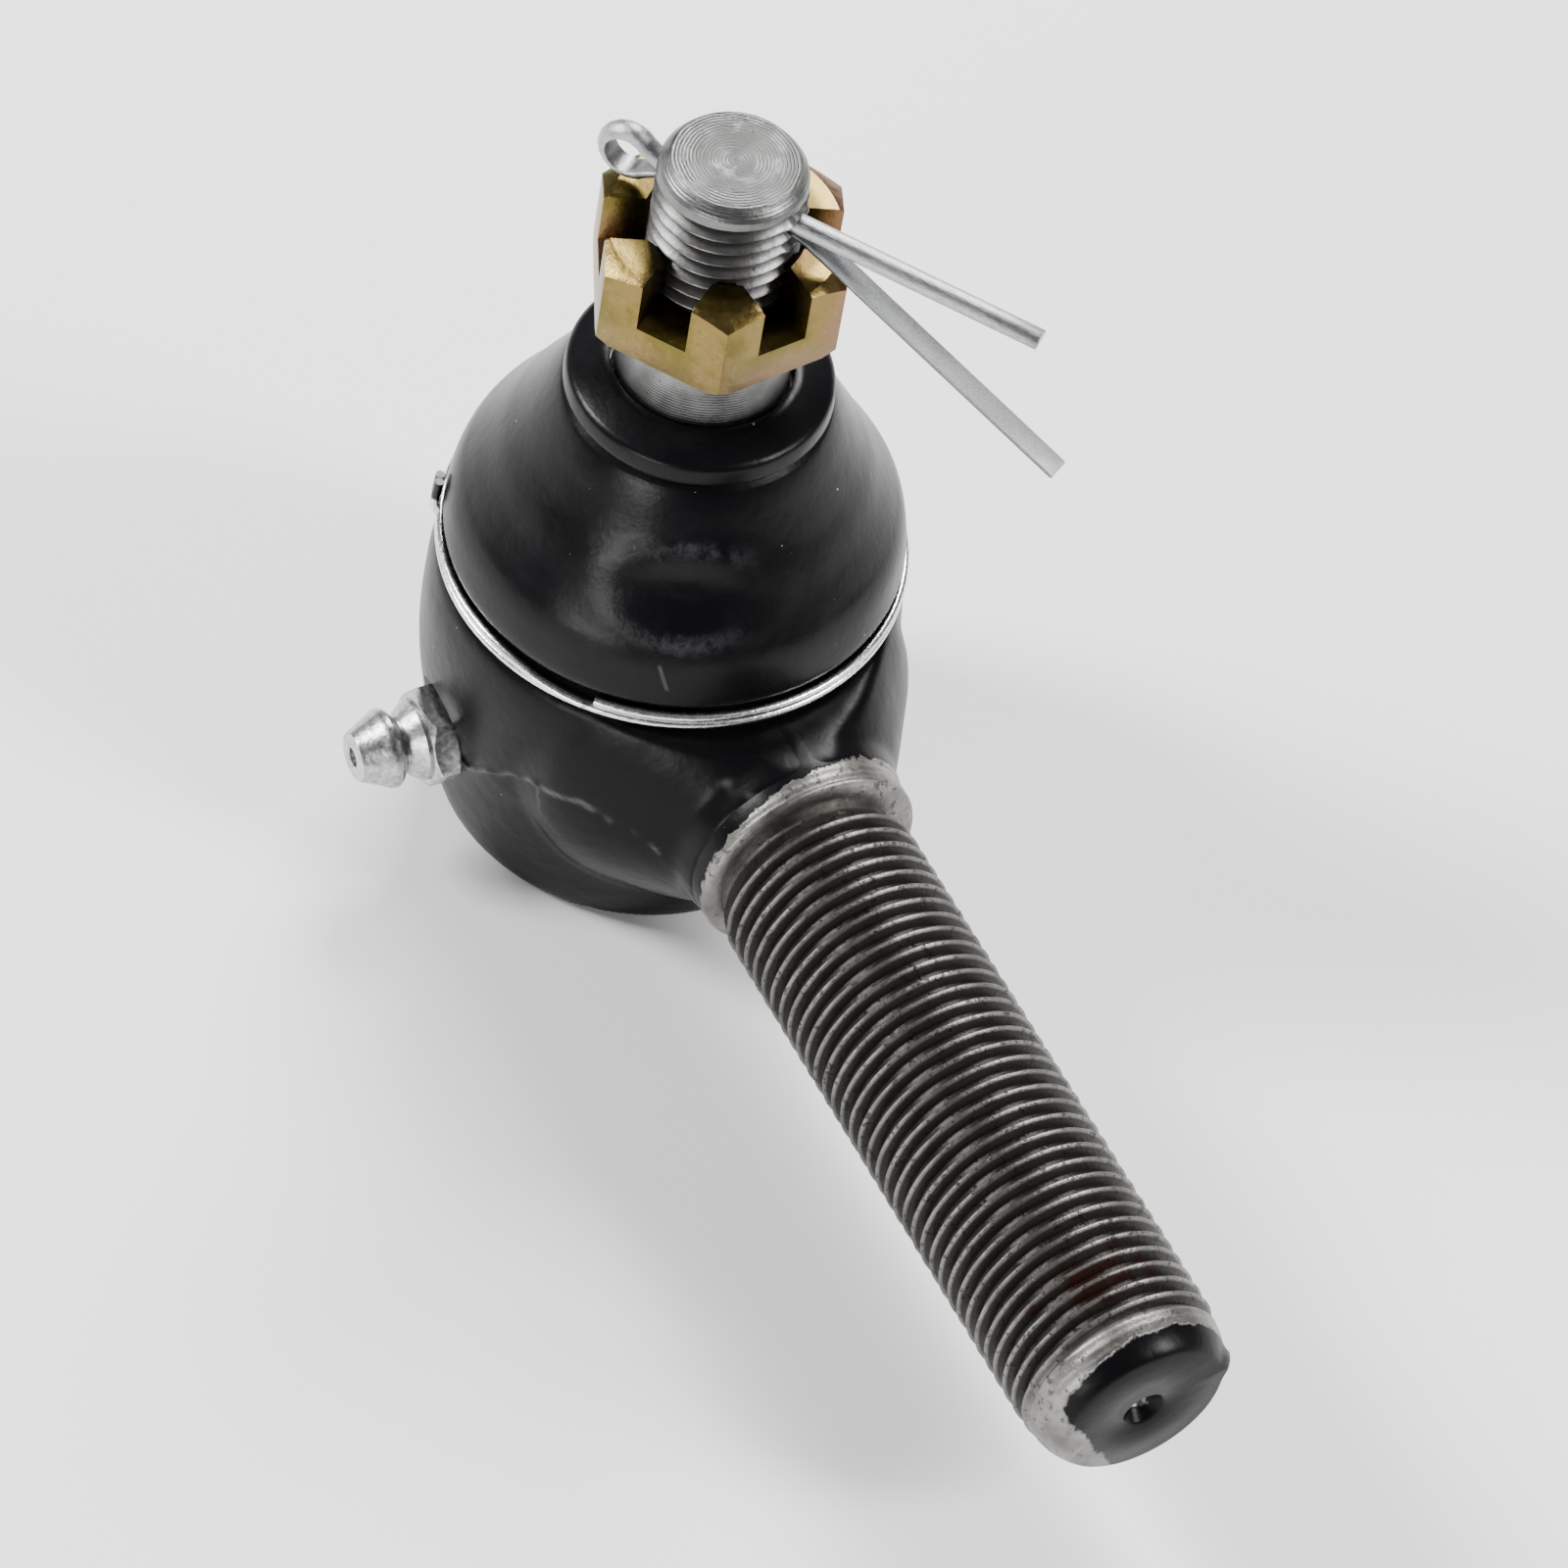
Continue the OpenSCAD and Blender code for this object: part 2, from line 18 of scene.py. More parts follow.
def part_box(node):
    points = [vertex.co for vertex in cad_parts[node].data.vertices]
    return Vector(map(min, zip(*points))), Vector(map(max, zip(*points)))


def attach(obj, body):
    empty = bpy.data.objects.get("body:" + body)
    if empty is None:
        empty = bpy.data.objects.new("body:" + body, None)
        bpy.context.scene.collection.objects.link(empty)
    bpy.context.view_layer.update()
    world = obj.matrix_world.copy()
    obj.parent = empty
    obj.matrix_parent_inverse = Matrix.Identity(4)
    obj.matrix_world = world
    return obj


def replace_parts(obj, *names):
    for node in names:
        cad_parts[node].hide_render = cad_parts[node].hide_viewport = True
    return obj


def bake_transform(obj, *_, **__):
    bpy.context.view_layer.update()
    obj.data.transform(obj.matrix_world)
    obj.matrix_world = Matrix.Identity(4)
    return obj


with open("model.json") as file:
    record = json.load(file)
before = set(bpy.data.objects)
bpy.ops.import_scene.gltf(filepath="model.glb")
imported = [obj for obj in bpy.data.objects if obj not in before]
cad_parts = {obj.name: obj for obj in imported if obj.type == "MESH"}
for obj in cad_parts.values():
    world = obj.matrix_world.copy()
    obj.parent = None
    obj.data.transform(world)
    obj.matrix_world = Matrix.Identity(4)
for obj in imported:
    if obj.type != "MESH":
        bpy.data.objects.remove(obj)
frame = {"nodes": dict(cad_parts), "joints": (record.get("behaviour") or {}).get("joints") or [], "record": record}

LOG = logging.getLogger("tie_rod_end")
MM = 0.001
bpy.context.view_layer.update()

Outline = list[tuple[float, float]]
Socket = bpy.types.NodeSocket


# ---------------------------------------------------------------- sizes taken from the frame


@dataclass(frozen=True)
class Layout:
    """Where the CAD model puts things, in millimetres."""

    ball_z: float
    shank_z: float
    shank_r: float
    shank_end: float
    cup_r: float
    land_top: float
    stud_top: float
    nut_low: float
    nut_high: float
    clip_z: float
    nipple_dir: Vector
    nipple_z: float

    @classmethod
    def from_frame(cls) -> "Layout":
        """Reads the joints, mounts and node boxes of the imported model.

        Returns:
            The layout in millimetres.
        """
        joints = {joint["name"]: joint for joint in frame["joints"]}
        mounts = {mount["name"]: mount for mount in frame["record"]["mounts"]}
        housing_low, housing_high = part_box("housing")
        nut_low, nut_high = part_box("castle_nut")
        stud_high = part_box("ball_stud")[1]
        ring_low, ring_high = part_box("boot_neck_ring")
        boot_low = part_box("dust_boot")[0]
        LOG.debug("neck ring from %.4f to %.4f m", ring_low.z, ring_high.z)
        return cls(
            ball_z=joints["stud_spin"]["pos_m"][2] / MM,
            shank_z=mounts["shank_thread"]["pos_m"][2] / MM,
            shank_r=mounts["shank_thread"]["dims"]["r_mm"],
            shank_end=housing_high.x / MM,
            cup_r=-housing_low.x / MM,
            land_top=housing_high.z / MM,
            stud_top=stud_high.z / MM,
            nut_low=nut_low.z / MM,
            nut_high=nut_high.z / MM,
            clip_z=boot_low.z / MM + 1.0,
            nipple_dir=Vector(mounts["nipple_head"]["axis"]).normalized(),
            nipple_z=mounts["nipple_head"]["pos_m"][2] / MM,
        )


# ---------------------------------------------------------------- shader maths


@dataclass
class Value:
    """A number on a shader socket that can be used in Python expressions."""

    graph: "Graph"
    socket: Socket

    def _math(self, operation: str, *terms: "Value | float") -> "Value":
        """Adds one Math node.

        Args:
            operation: the node's operation.
            terms: its inputs in order.

        Returns:
            The node's result.
        """
        inputs = dict(enumerate(terms))
        return self.graph.value("ShaderNodeMath", {"operation": operation}, inputs)

    def __add__(self, other: "Value | float") -> "Value":
        """self + other."""
        return self._math("ADD", self, other)

    __radd__ = __add__

    def __mul__(self, other: "Value | float") -> "Value":
        """self * other."""
        return self._math("MULTIPLY", self, other)

    __rmul__ = __mul__

    def __sub__(self, other: "Value | float") -> "Value":
        """self - other."""
        return self._math("SUBTRACT", self, other)

    def __rsub__(self, other: "Value | float") -> "Value":
        """other - self."""
        return self._math("SUBTRACT", other, self)

    def __truediv__(self, other: "Value | float") -> "Value":
        """self / other."""
        return self._math("DIVIDE", self, other)

    def __pow__(self, other: "Value | float") -> "Value":
        """self to the power of other."""
        return self._math("POWER", self, other)

    def root(self) -> "Value":
        """Square root."""
        return self._math("SQRT", self)

    def sine(self) -> "Value":
        """Sine, of radians."""
        return self._math("SINE", self)

    def larger(self, other: "Value | float") -> "Value":
        """The larger of the two."""
        return self._math("MAXIMUM", self, other)

    def smaller(self, other: "Value | float") -> "Value":
        """The smaller of the two."""
        return self._math("MINIMUM", self, other)

    def rise(self, low: float, high: float) -> "Value":
        """Goes smoothly from 0 at low to 1 at high; low may be the larger.

        Args:
            low: where the result is 0.
            high: where the result is 1.

        Returns:
            A mask from 0 to 1.
        """
        settings = {"interpolation_type": "SMOOTHSTEP", "clamp": True}
        if low > high:
            return 1 - self.rise(high, low)
        return self.graph.value("ShaderNodeMapRange", settings, {"Value": self, "From Min": low, "From Max": high})


class Graph:
    """A material's node tree, with short ways to add nodes."""

    def __init__(self, name: str) -> None:
        """Starts an empty material.

        Args:
            name: the material's name.
        """
        self.material = bpy.data.materials.new(name)
        self.material.use_nodes = True
        self.tree = self.material.node_tree
        self.tree.nodes.clear()
        output = self.tree.nodes.new("ShaderNodeOutputMaterial")
        self.shader = self.tree.nodes.new("ShaderNodeBsdfPrincipled")
        self.tree.links.new(self.shader.outputs[0], output.inputs["Surface"])
        self.place = self.tree.nodes.new("ShaderNodeTexCoord").outputs["Object"]

    def node(self, kind: str, settings: dict | None = None, inputs: dict | None = None) -> bpy.types.Node:
        """Adds any node.

        Args:
            kind: the node's type.
            settings: its properties; "stops" fills a colour ramp with (place, colour) pairs.
            inputs: values or links, by the socket's name or number.

        Returns:
            The node.
        """
        made = self.tree.nodes.new(kind)
        for name, setting in (settings or {}).items():
            if name == "stops":
                ramp = made.color_ramp.elements
                while len(ramp) < len(setting):
                    ramp.new(0.5)
                for stop, (place, colour) in zip(ramp, setting):
                    stop.position = place
                    stop.color = (*colour, 1)
            else:
                setattr(made, name, setting)
        for key, value in (inputs or {}).items():
            self.feed(made.inputs[key], value)
        return made

    def feed(self, socket: Socket, value: "Value | Socket | float | Sequence[float]") -> None:
        """Links or sets one input.

        Args:
            socket: the input.
            value: a link's source, or a constant.
        """
        if isinstance(value, Value):
            value = value.socket
        if isinstance(value, Socket):
            self.tree.links.new(value, socket)
        elif isinstance(value, (tuple, list)) and len(value) == 3 and socket.type == "RGBA":
            socket.default_value = (*value, 1)
        else:
            socket.default_value = value

    def value(self, kind: str, settings: dict | None = None, inputs: dict | None = None, out: int | str = 0) -> Value:
        """Adds a node and returns one of its outputs as a number.

        Args:
            kind: the node's type.
            settings: its properties.
            inputs: its inputs.
            out: the output's name or number.

        Returns:
            The output.
        """
        return Value(self, self.node(kind, settings, inputs).outputs[out])

    def axes(self) -> tuple[Value, Value, Value]:
        """The place on the piece, in millimetres along X, Y and Z."""
        split = self.node("ShaderNodeSeparateXYZ", inputs={0: self.place})
        return tuple(Value(self, out) * (1 / MM) for out in split.outputs)

    def stretched(self, scale: Sequence[float], turn: Sequence[float] = (0, 0, 0)) -> Socket:
        """Object coordinates turned, then scaled along each axis, for grain and streaks.

        Args:
            scale: the scales along X, Y and Z.
            turn: the turn in radians about X, Y and Z.

        Returns:
            The mapped vector.
        """
        turned = self.node("ShaderNodeMapping", {"vector_type": "POINT"}, {"Vector": self.place, "Rotation": turn})
        return self.node("ShaderNodeMapping", None, {"Vector": turned.outputs[0], "Scale": scale}).outputs[0]

    def cloud(self, size: float, detail: float = 4, rough: float = 0.55, at: Socket | None = None) -> Value:
        """Smooth noise from 0 to 1.

        Args:
            size: the size of its blotches in millimetres.
            detail: the number of finer layers.
            rough: how strong the finer layers are.
            at: the coordinates, where they aren't the object's own.

        Returns:
            The noise.
        """
        inputs = {"Vector": at or self.place, "Scale": 1 / (size * MM), "Detail": detail, "Roughness": rough}
        return self.value("ShaderNodeTexNoise", None, inputs)

    def specks(self, spacing: float, radius: float, at: Socket | None = None) -> Value:
        """Small round dots scattered over the piece.

        Args:
            spacing: the distance between cells in millimetres.
            radius: the radius of a dot as a share of its cell.
            at: the coordinates, where they aren't the object's own.

        Returns:
            A mask that is 1 in a dot.
        """
        inputs = {"Vector": at or self.place, "Scale": 1 / (spacing * MM), "Randomness": 1.0}
        cells = self.node("ShaderNodeTexVoronoi", {"feature": "F1"}, inputs)
        chance = Value(self, self.node("ShaderNodeSeparateColor", inputs={0: cells.outputs["Color"]}).outputs[0])
        near = Value(self, cells.outputs["Distance"]).rise(radius, radius * 0.6)
        return near * chance.rise(0.55, 0.6)

    def mix(self, mask: Value | float, low: Socket | Sequence[float], high: Socket | Sequence[float]) -> Socket:
        """Mixes two colours.

        Args:
            mask: 0 gives low and 1 gives high.
            low: a colour or a link to one.
            high: a colour or a link to one.

        Returns:
            The mixed colour.
        """
        made = self.node("ShaderNodeMix", {"data_type": "RGBA"}, {0: mask, 6: low, 7: high})
        return made.outputs[2]

    def ramp(self, value: Value, stops: list[tuple[float, tuple[float, float, float]]]) -> Socket:
        """A colour ramp.

        Args:
            value: the place along the ramp.
            stops: places and their colours.

        Returns:
            The colour.
        """
        return self.node("ShaderNodeValToRGB", {"stops": stops}, {0: value}).outputs[0]

    def relief(self, *layers: tuple[Value, float]) -> None:
        """Adds bumps to the shader.

        Args:
            layers: heights from 0 to 1, each with its depth in millimetres.
        """
        total = None
        for height, depth in layers:
            layer = height * depth
            total = layer if total is None else total + layer
        bump = self.node("ShaderNodeBump", None, {"Strength": 1.0, "Distance": MM, "Height": total})
        self.feed(self.shader.inputs["Normal"], bump.outputs[0])

    def shade(self, **inputs: "Value | Socket | float | Sequence[float]") -> None:
        """Sets the shader's inputs; an underscore in a name stands for a space.

        Args:
            inputs: values or links by input name.
        """
        for name, value in inputs.items():
            self.feed(self.shader.inputs[name.replace("_", " ")], value)


# ---------------------------------------------------------------- finishes


@dataclass(frozen=True)
class Finish:
    """A named surface finish; one material is made of it and shared."""

    name: str = "finish"
    shelf: ClassVar[dict[str, bpy.types.Material]] = {}

    def material(self) -> bpy.types.Material:
        """The finish's material, made on first use."""
        if self.name not in self.shelf:
            graph = Graph(self.name)
            self.paint(graph)
            self.shelf[self.name] = graph.material
        return self.shelf[self.name]

    def paint(self, graph: Graph) -> None:
        """Fills the material's nodes.

        Args:
            graph: the material to fill.
        """
        raise NotImplementedError


@dataclass(frozen=True)
class PaintedForging(Finish):
    """Black gloss paint on the forging, and oily bare steel on its turned shank."""

    name: str = "painted_forging"
    axis_z: float = 16.4
    thread_r: float = 7.94
    thread_from: float = 25.4
    face_x: float = 77.9
    lead: float = 3.6
    black: tuple = (0.0022, 0.0022, 0.0027)
    steel: tuple = (0.13, 0.127, 0.12)
    pale: tuple = (0.27, 0.26, 0.245)
    oil: tuple = (0.012, 0.011, 0.010)
    rust: tuple = (0.020, 0.0065, 0.0045)

    def paint_edge(self, graph: Graph, x: Value, y: Value) -> Value:
        """Where the forging's paint lies: up to a slightly ragged line round the collar."""
        ragged = (graph.cloud(1.1, 5, 0.6) - 0.5) * 1.5
        line = x + y * 0.12 + ragged
        return line.rise(23.1, 22.95)

    def end_paint(self, graph: Graph, x: Value, y: Value, z: Value) -> Value:
        """The black dab on the shank's end, flaked off at one side."""
        ragged = (graph.cloud(1.6, 4, 0.6) - 0.5) * 1.1
        slope = (z - self.axis_z) * 0.09 + y * 0.05
        cover = (x + ragged + slope).rise(self.face_x - 1.15, self.face_x - 0.95)
        flake = (y * 0.86 + (z - self.axis_z) * 0.5 + ragged * 1.6).rise(-4.3, -4.6)
        return cover * (1 - flake)

    def paint(self, graph: Graph) -> None:
        """Fills the material's nodes."""
        x, y, z = graph.axes()
        up = z - self.axis_z
        reach = (y * y + up * up).root()
        painted = self.paint_edge(graph, x, y).larger(self.end_paint(graph, x, y, z))
        blotch = graph.cloud(2.6, 6, 0.62)
        fine = graph.cloud(0.32, 5, 0.6)
        grooves = reach.rise(self.thread_r - 0.05, self.thread_r - 0.32)
        threaded = x.rise(self.thread_from, self.thread_from + 0.4) * x.rise(self.face_x - self.lead + 0.5, self.face_x - self.lead - 0.3)
        drawn = graph.cloud(0.75, 5, 0.65)
        patchy = (graph.cloud(0.42, 4, 0.7) + blotch * 0.5).rise(0.80, 0.88)
        oiled = (grooves * (drawn + 0.5).rise(0.42, 0.72)).larger(patchy * 0.8) * threaded
        pits = graph.cloud(0.9, 6, 0.7).rise(0.585, 0.63)
        stain_x = (x - 70.5) * 0.30
        stain_y = (y + 1.2) * 0.17
        stain = (stain_x * stain_x + stain_y * stain_y + (blotch - 0.5) * 3.2).rise(0.7, 0.1) * up.rise(0.5, 2.5)
        stain = stain * (grooves + 0.35).smaller(1.0)
        metal = graph.mix(blotch.rise(0.3, 0.75), self.steel, self.pale)
        metal = graph.mix((x - 23.7).rise(1.4, -0.2) * blotch.rise(0.5, 0.75) * 0.5, metal, (0.33, 0.25, 0.17))
        metal = graph.mix(pits * 0.75, metal, (0.07, 0.06, 0.05))
        metal = graph.mix(oiled * 0.95, metal, self.oil)
        metal = graph.mix(stain * threaded * 0.92, metal, self.rust)
        dust = graph.specks(2.4, 0.035) + graph.specks(1.3, 0.022)
        black = graph.mix(graph.cloud(7.0, 3, 0.5), self.black, (0.0034, 0.0034, 0.0040))
        black = graph.mix(dust * 0.8, black, (0.42, 0.42, 0.43))
        # Painted highlight: the forging's flash line and the neck's upper ridge are lightened as if their edges caught
        # the light.
        scar = graph.value("ShaderNodeAttribute", {"attribute_name": "scar"}, out="Fac")
        black = graph.mix(scar.smaller(1.0) * 0.55, black, (0.13, 0.13, 0.135))
        turned = ((x * 9.0).sine() * 0.5 + 0.5) * (1 - threaded)
        graph.shade(
            Base_Color=graph.mix(painted, metal, black),
            Metallic=(1 - painted) * (1 - oiled * 0.75) * (1 - stain * threaded * 0.8),
            Roughness=painted * (0.27 + blotch * 0.10) + (1 - painted) * (0.30 + fine * 0.22 - oiled * 0.1),
            Specular_IOR_Level=0.10,
        )
        skin = graph.cloud(1.5, 3, 0.5)
        pores = graph.cloud(0.45, 4, 0.6)
        graph.relief(
            (skin * painted, 0.05),
            (pores * painted, 0.008),
            (fine * (1 - painted), 0.035),
            (turned * (1 - painted), 0.02),
            ((1 - painted) * pits, -0.08),
            (painted, 0.10),
        )


@dataclass(frozen=True)
class TurnedSteel(Finish):
    """Bare lathe-turned steel round the Z axis, with rings, small pits and a film of oil."""

    name: str = "turned_steel"
    tone: tuple = (0.105, 0.104, 0.102)
    pale: tuple = (0.20, 0.197, 0.194)
    thread_r: float = 5.55
    thread_low: float = 54.0
    thread_high: float = 67.6

    def paint(self, graph: Graph) -> None:
        """Fills the material's nodes."""
        x, y, z = graph.axes()
        reach = (x * x + y * y).root()
        blotch = graph.cloud(2.2, 6, 0.6)
        fine = graph.cloud(0.28, 5, 0.6)
        threaded = z.rise(self.thread_low - 0.3, self.thread_low) * z.rise(self.thread_high + 0.2, self.thread_high - 0.1)
        grooves = reach.rise(self.thread_r - 0.1, self.thread_r - 0.55) * threaded
        dirty = grooves * (graph.cloud(0.8, 5, 0.6) + 0.5).rise(0.5, 0.8)
        top = z.rise(self.thread_high + 0.5, self.thread_high + 0.85)
        pits = graph.cloud(1.0, 4, 0.65).rise(0.70, 0.73)
        metal = graph.mix(blotch.rise(0.3, 0.7), self.tone, self.pale)
        metal = graph.mix(pits * 0.8, metal, (0.05, 0.045, 0.04))
        metal = graph.mix(dirty * 0.85, metal, (0.03, 0.028, 0.026))
        rings = ((reach * 24.0 + graph.cloud(1.5, 3) * 7.0).sine() * 0.5 + 0.5) * top * blotch.rise(0.3, 0.6)
        lathe = ((z * 24.0).sine() * 0.5 + 0.5) * (1 - top) * (1 - threaded)
        graph.shade(
            Base_Color=graph.mix(rings * 0.4, metal, (0.10, 0.098, 0.096)),
            Metallic=1 - dirty * 0.5,
            Roughness=0.27 + fine * 0.2 + top * 0.04,
        )
        graph.relief((rings, 0.05), (lathe, 0.012), (fine, 0.02), (pits, -0.1))


@dataclass(frozen=True)
class Plated(Finish):
    """Bright zinc plate with faint streaks along one axis and a few dark dots."""

    name: str = "bright_zinc"
    tone: tuple = (0.24, 0.243, 0.247)
    pale: tuple = (0.46, 0.463, 0.47)
    rough: float = 0.24
    streak: tuple = (1.0, 1.0, 1.0)
    turn: tuple = (0.0, 0.0, 0.0)
    dirt: float = 0.5
    dark_from: float | None = None

    def paint(self, graph: Graph) -> None:
        """Fills the material's nodes."""
        along = graph.stretched(self.streak, self.turn)
        grain = graph.cloud(0.5, 5, 0.6, along)
        blotch = graph.cloud(1.8, 5, 0.6)
        dots = graph.specks(1.5, 0.09)
        grime = graph.cloud(0.9, 6, 0.7).rise(0.6, 0.72) * self.dirt
        metal = graph.mix(grain.rise(0.3, 0.7), self.tone, self.pale)
        metal = graph.mix(grime, metal, (0.20, 0.195, 0.18))
        metal = graph.mix(dots * self.dirt, metal, (0.03, 0.03, 0.03))
        # Darker above the given height; on the clip, that is its upright tail.
        if self.dark_from is not None:
            metal = graph.mix(graph.axes()[2].rise(self.dark_from, self.dark_from + 0.4), metal, (0.03, 0.03, 0.032))
        graph.shade(Base_Color=metal, Metallic=1.0, Roughness=self.rough + grain * 0.14 + blotch * 0.06)
        graph.relief((grain, 0.035), (blotch, 0.05))


@dataclass(frozen=True)
class YellowZinc(Finish):
    """Yellow passivated zinc: olive and gold, with a faint pink and green rainbow, and painted shade in the slots."""

    name: str = "yellow_zinc"
    deep: tuple = (0.075, 0.05, 0.010)
    gold: tuple = (0.20, 0.14, 0.045)
    olive: tuple = (0.135, 0.105, 0.024)
    pink: tuple = (0.24, 0.125, 0.066)
    cream: tuple = (0.31, 0.25, 0.12)
    outer_r: float = 8.0

    def paint(self, graph: Graph) -> None:
        """Fills the material's nodes."""
        x, y, z = graph.axes()
        drift = graph.cloud(4.2, 3, 0.5) + (y * 0.012 - x * 0.004)
        fine = graph.cloud(0.5, 6, 0.65)
        stops = [(0.30, self.olive), (0.44, self.gold), (0.56, self.gold), (0.66, self.pink), (0.80, self.olive)]
        tint = graph.ramp(drift, stops)
        low = z.rise(57.0, 54.6)
        tint = graph.mix(low * graph.cloud(2.5, 3).rise(0.42, 0.6) * 0.6, tint, self.pink)
        tint = graph.mix(fine.rise(0.55, 0.75) * 0.55, tint, self.cream)
        tint = graph.mix(fine.rise(0.42, 0.28) * 0.6, tint, self.deep)
        # Painted shade: faces inside the nut's outer radius near its top, such as the slots' walls and floors, are
        # darkened where shade falls.
        slot_shade = (x * x + y * y).root().rise(self.outer_r, self.outer_r - 1.1) * z.rise(55.5, 56.2)
        tint = graph.mix(slot_shade * 0.8, tint, (0.028, 0.02, 0.006))
        graph.shade(Base_Color=tint, Metallic=1.0, Roughness=0.26 + fine * 0.16)
        graph.relief((graph.cloud(1.2, 4, 0.6), 0.06), (fine, 0.025))


@dataclass(frozen=True)
class BootRubber(Finish):
    """Smooth black rubber with a soft gloss, faint mould marks, a scratch, a painted sheen in arcs round the dent in
    its front, and specks of dust.
    """

    name: str = "boot_rubber"
    tone: tuple = (0.0024, 0.0024, 0.0031)
    bloom: tuple = (0.0052, 0.0052, 0.0062)
    scratch_and_sheen_dir: tuple = (0.891, -0.454)
    sheen_z: float = 36.3

    def paint(self, graph: Graph) -> None:
        """Fills the material's nodes."""
        x, y, z = graph.axes()
        haze = graph.cloud(5.0, 5, 0.6)
        mottle = graph.cloud(0.55, 6, 0.7)
        dust = graph.specks(2.6, 0.045) + graph.specks(1.5, 0.022)
        side = y * self.scratch_and_sheen_dir[0] - x * self.scratch_and_sheen_dir[1]
        facing = (x * self.scratch_and_sheen_dir[0] + y * self.scratch_and_sheen_dir[1]).rise(8.0, 11.0)
        high = z - self.sheen_z - 0.4
        oval = (side * side * 0.021 + high * high * 0.10 + (mottle - 0.5) * 0.55).root()
        ends = 1 - (side * 0.185) ** 2
        # Painted highlight: a pale ring of sheen arcs round the dent in the bell's front, which is also a little
        # rougher and raised.
        dent_sheen = oval.rise(0.72, 1.0) * oval.rise(1.34, 1.04) * facing * (graph.cloud(2.0, 6, 0.75).rise(0.42, 0.66)) * ends.larger(0.0).smaller(1.0)
        slant = side + 1.47 - (32.0 - z) * 0.38
        scratch = (slant * slant).rise(0.035, 0.012) * z.rise(29.6, 30.0) * z.rise(32.1, 31.7) * facing
        skin = graph.mix(haze.rise(0.45, 0.75), self.tone, self.bloom)
        skin = graph.mix(scratch * 0.6, skin, (0.07, 0.07, 0.075))
        # The painted sheen's colour round the dent.
        skin = graph.mix(dent_sheen * 0.45, skin, (0.055, 0.055, 0.06))
        skin = graph.mix(dust * 0.75, skin, (0.4, 0.4, 0.41))
        graph.shade(
            Base_Color=skin,
            Roughness=0.24 + haze * 0.12 + dent_sheen * 0.2,
            Specular_IOR_Level=0.14,
        )
        graph.relief((haze, 0.05), (mottle, 0.008), (graph.cloud(2.2, 3), 0.04), (dent_sheen, 0.04))


@dataclass(frozen=True)
class PlainMetal(Finish):
    """Spring wire and pressed steel that mostly hides inside the socket."""

    name: str = "spring_steel"
    tone: tuple = (0.38, 0.38, 0.39)
    pale: tuple = (0.50, 0.50, 0.51)
    rough: float = 0.34

    def paint(self, graph: Graph) -> None:
        """Fills the material's nodes."""
        blotch = graph.cloud(1.8, 5, 0.6)
        fine = graph.cloud(0.35, 4, 0.6)
        graph.shade(
            Base_Color=graph.mix(blotch.rise(0.35, 0.7), self.tone, self.pale),
            Metallic=1.0,
            Roughness=self.rough + fine * 0.16,
        )
        graph.relief((fine, 0.03), (blotch, 0.04))


@dataclass(frozen=True)
class MouldedPlastic(Finish):
    """The moulded bearing seats and the gasket."""

    name: str = "bearing_seat"
    tone: tuple = (0.80, 0.78, 0.70)
    shade_tone: tuple = (0.68, 0.65, 0.55)
    rough: float = 0.45

    def paint(self, graph: Graph) -> None:
        """Fills the material's nodes."""
        blotch = graph.cloud(3.0, 4, 0.6)
        fine = graph.cloud(0.5, 3, 0.5)
        graph.shade(Base_Color=graph.mix(blotch, self.shade_tone, self.tone), Roughness=self.rough + fine * 0.1)
        graph.relief((fine, 0.02))


@dataclass(frozen=True)
class StudioFloor(Finish):
    """A plain pale floor with the faintest unevenness."""

    name: str = "studio_floor"
    tone: tuple = (0.95, 0.95, 0.95)
    pale: tuple = (0.96, 0.96, 0.96)

    def paint(self, graph: Graph) -> None:
        """Fills the material's nodes."""
        blotch = graph.cloud(180.0, 3, 0.5)
        graph.shade(Base_Color=graph.mix(blotch, self.tone, self.pale), Roughness=0.6 + blotch * 0.05)


# ---------------------------------------------------------------- mesh work


def spun(outline: Outline, steps: int = 96, advance: float = 0.0, closed: bool = False) -> bmesh.types.BMesh:
    """Spins an outline round the Z axis.

    Args:
        outline: (radius, height) pairs.
        steps: the number of segments in a turn.
        advance: how far the outline climbs in one turn, for a thread.
        closed: whether the outline's end joins its start.

    Returns:
        The mesh.
    """
    bm = bmesh.new()
    verts = [bm.verts.new((r, 0, z)) for r, z in outline]
    pairs = list(zip(verts, verts[1:])) + ([(verts[-1], verts[0])] if closed else [])
    edges = [bm.edges.new(pair) for pair in pairs]
    bmesh.ops.spin(
        bm, geom=verts + edges, cent=(0, 0, 0), axis=(0, 0, 1), dvec=(0, 0, advance / steps),
        angle=math.tau, steps=steps, use_merge=not advance, use_duplicate=False,
    )
    bmesh.ops.remove_doubles(bm, verts=bm.verts, dist=0.002)
    bmesh.ops.recalc_face_normals(bm, faces=bm.faces)
    return bm


def flowing(points: Outline, steps: int = 5) -> Outline:
    """A smooth line through the given points.

    Args:
        points: the points that it passes through.
        steps: how many pieces each stretch gets.

    Returns:
        The finer line.
    """
    ends = [points[0], *points, points[-1]]
    line = []
    for i in range(1, len(ends) - 2):
        a, b, c, d = (Vector(ends[i + k - 1]) for k in range(4))
        for s in range(steps):
            t = s / steps
            line.append(tuple(0.5 * (
                2 * b + (c - a) * t + (2 * a - 5 * b + 4 * c - d) * t * t + (3 * b - a - 3 * c + d) * t ** 3)))
    return line + [tuple(points[-1])]


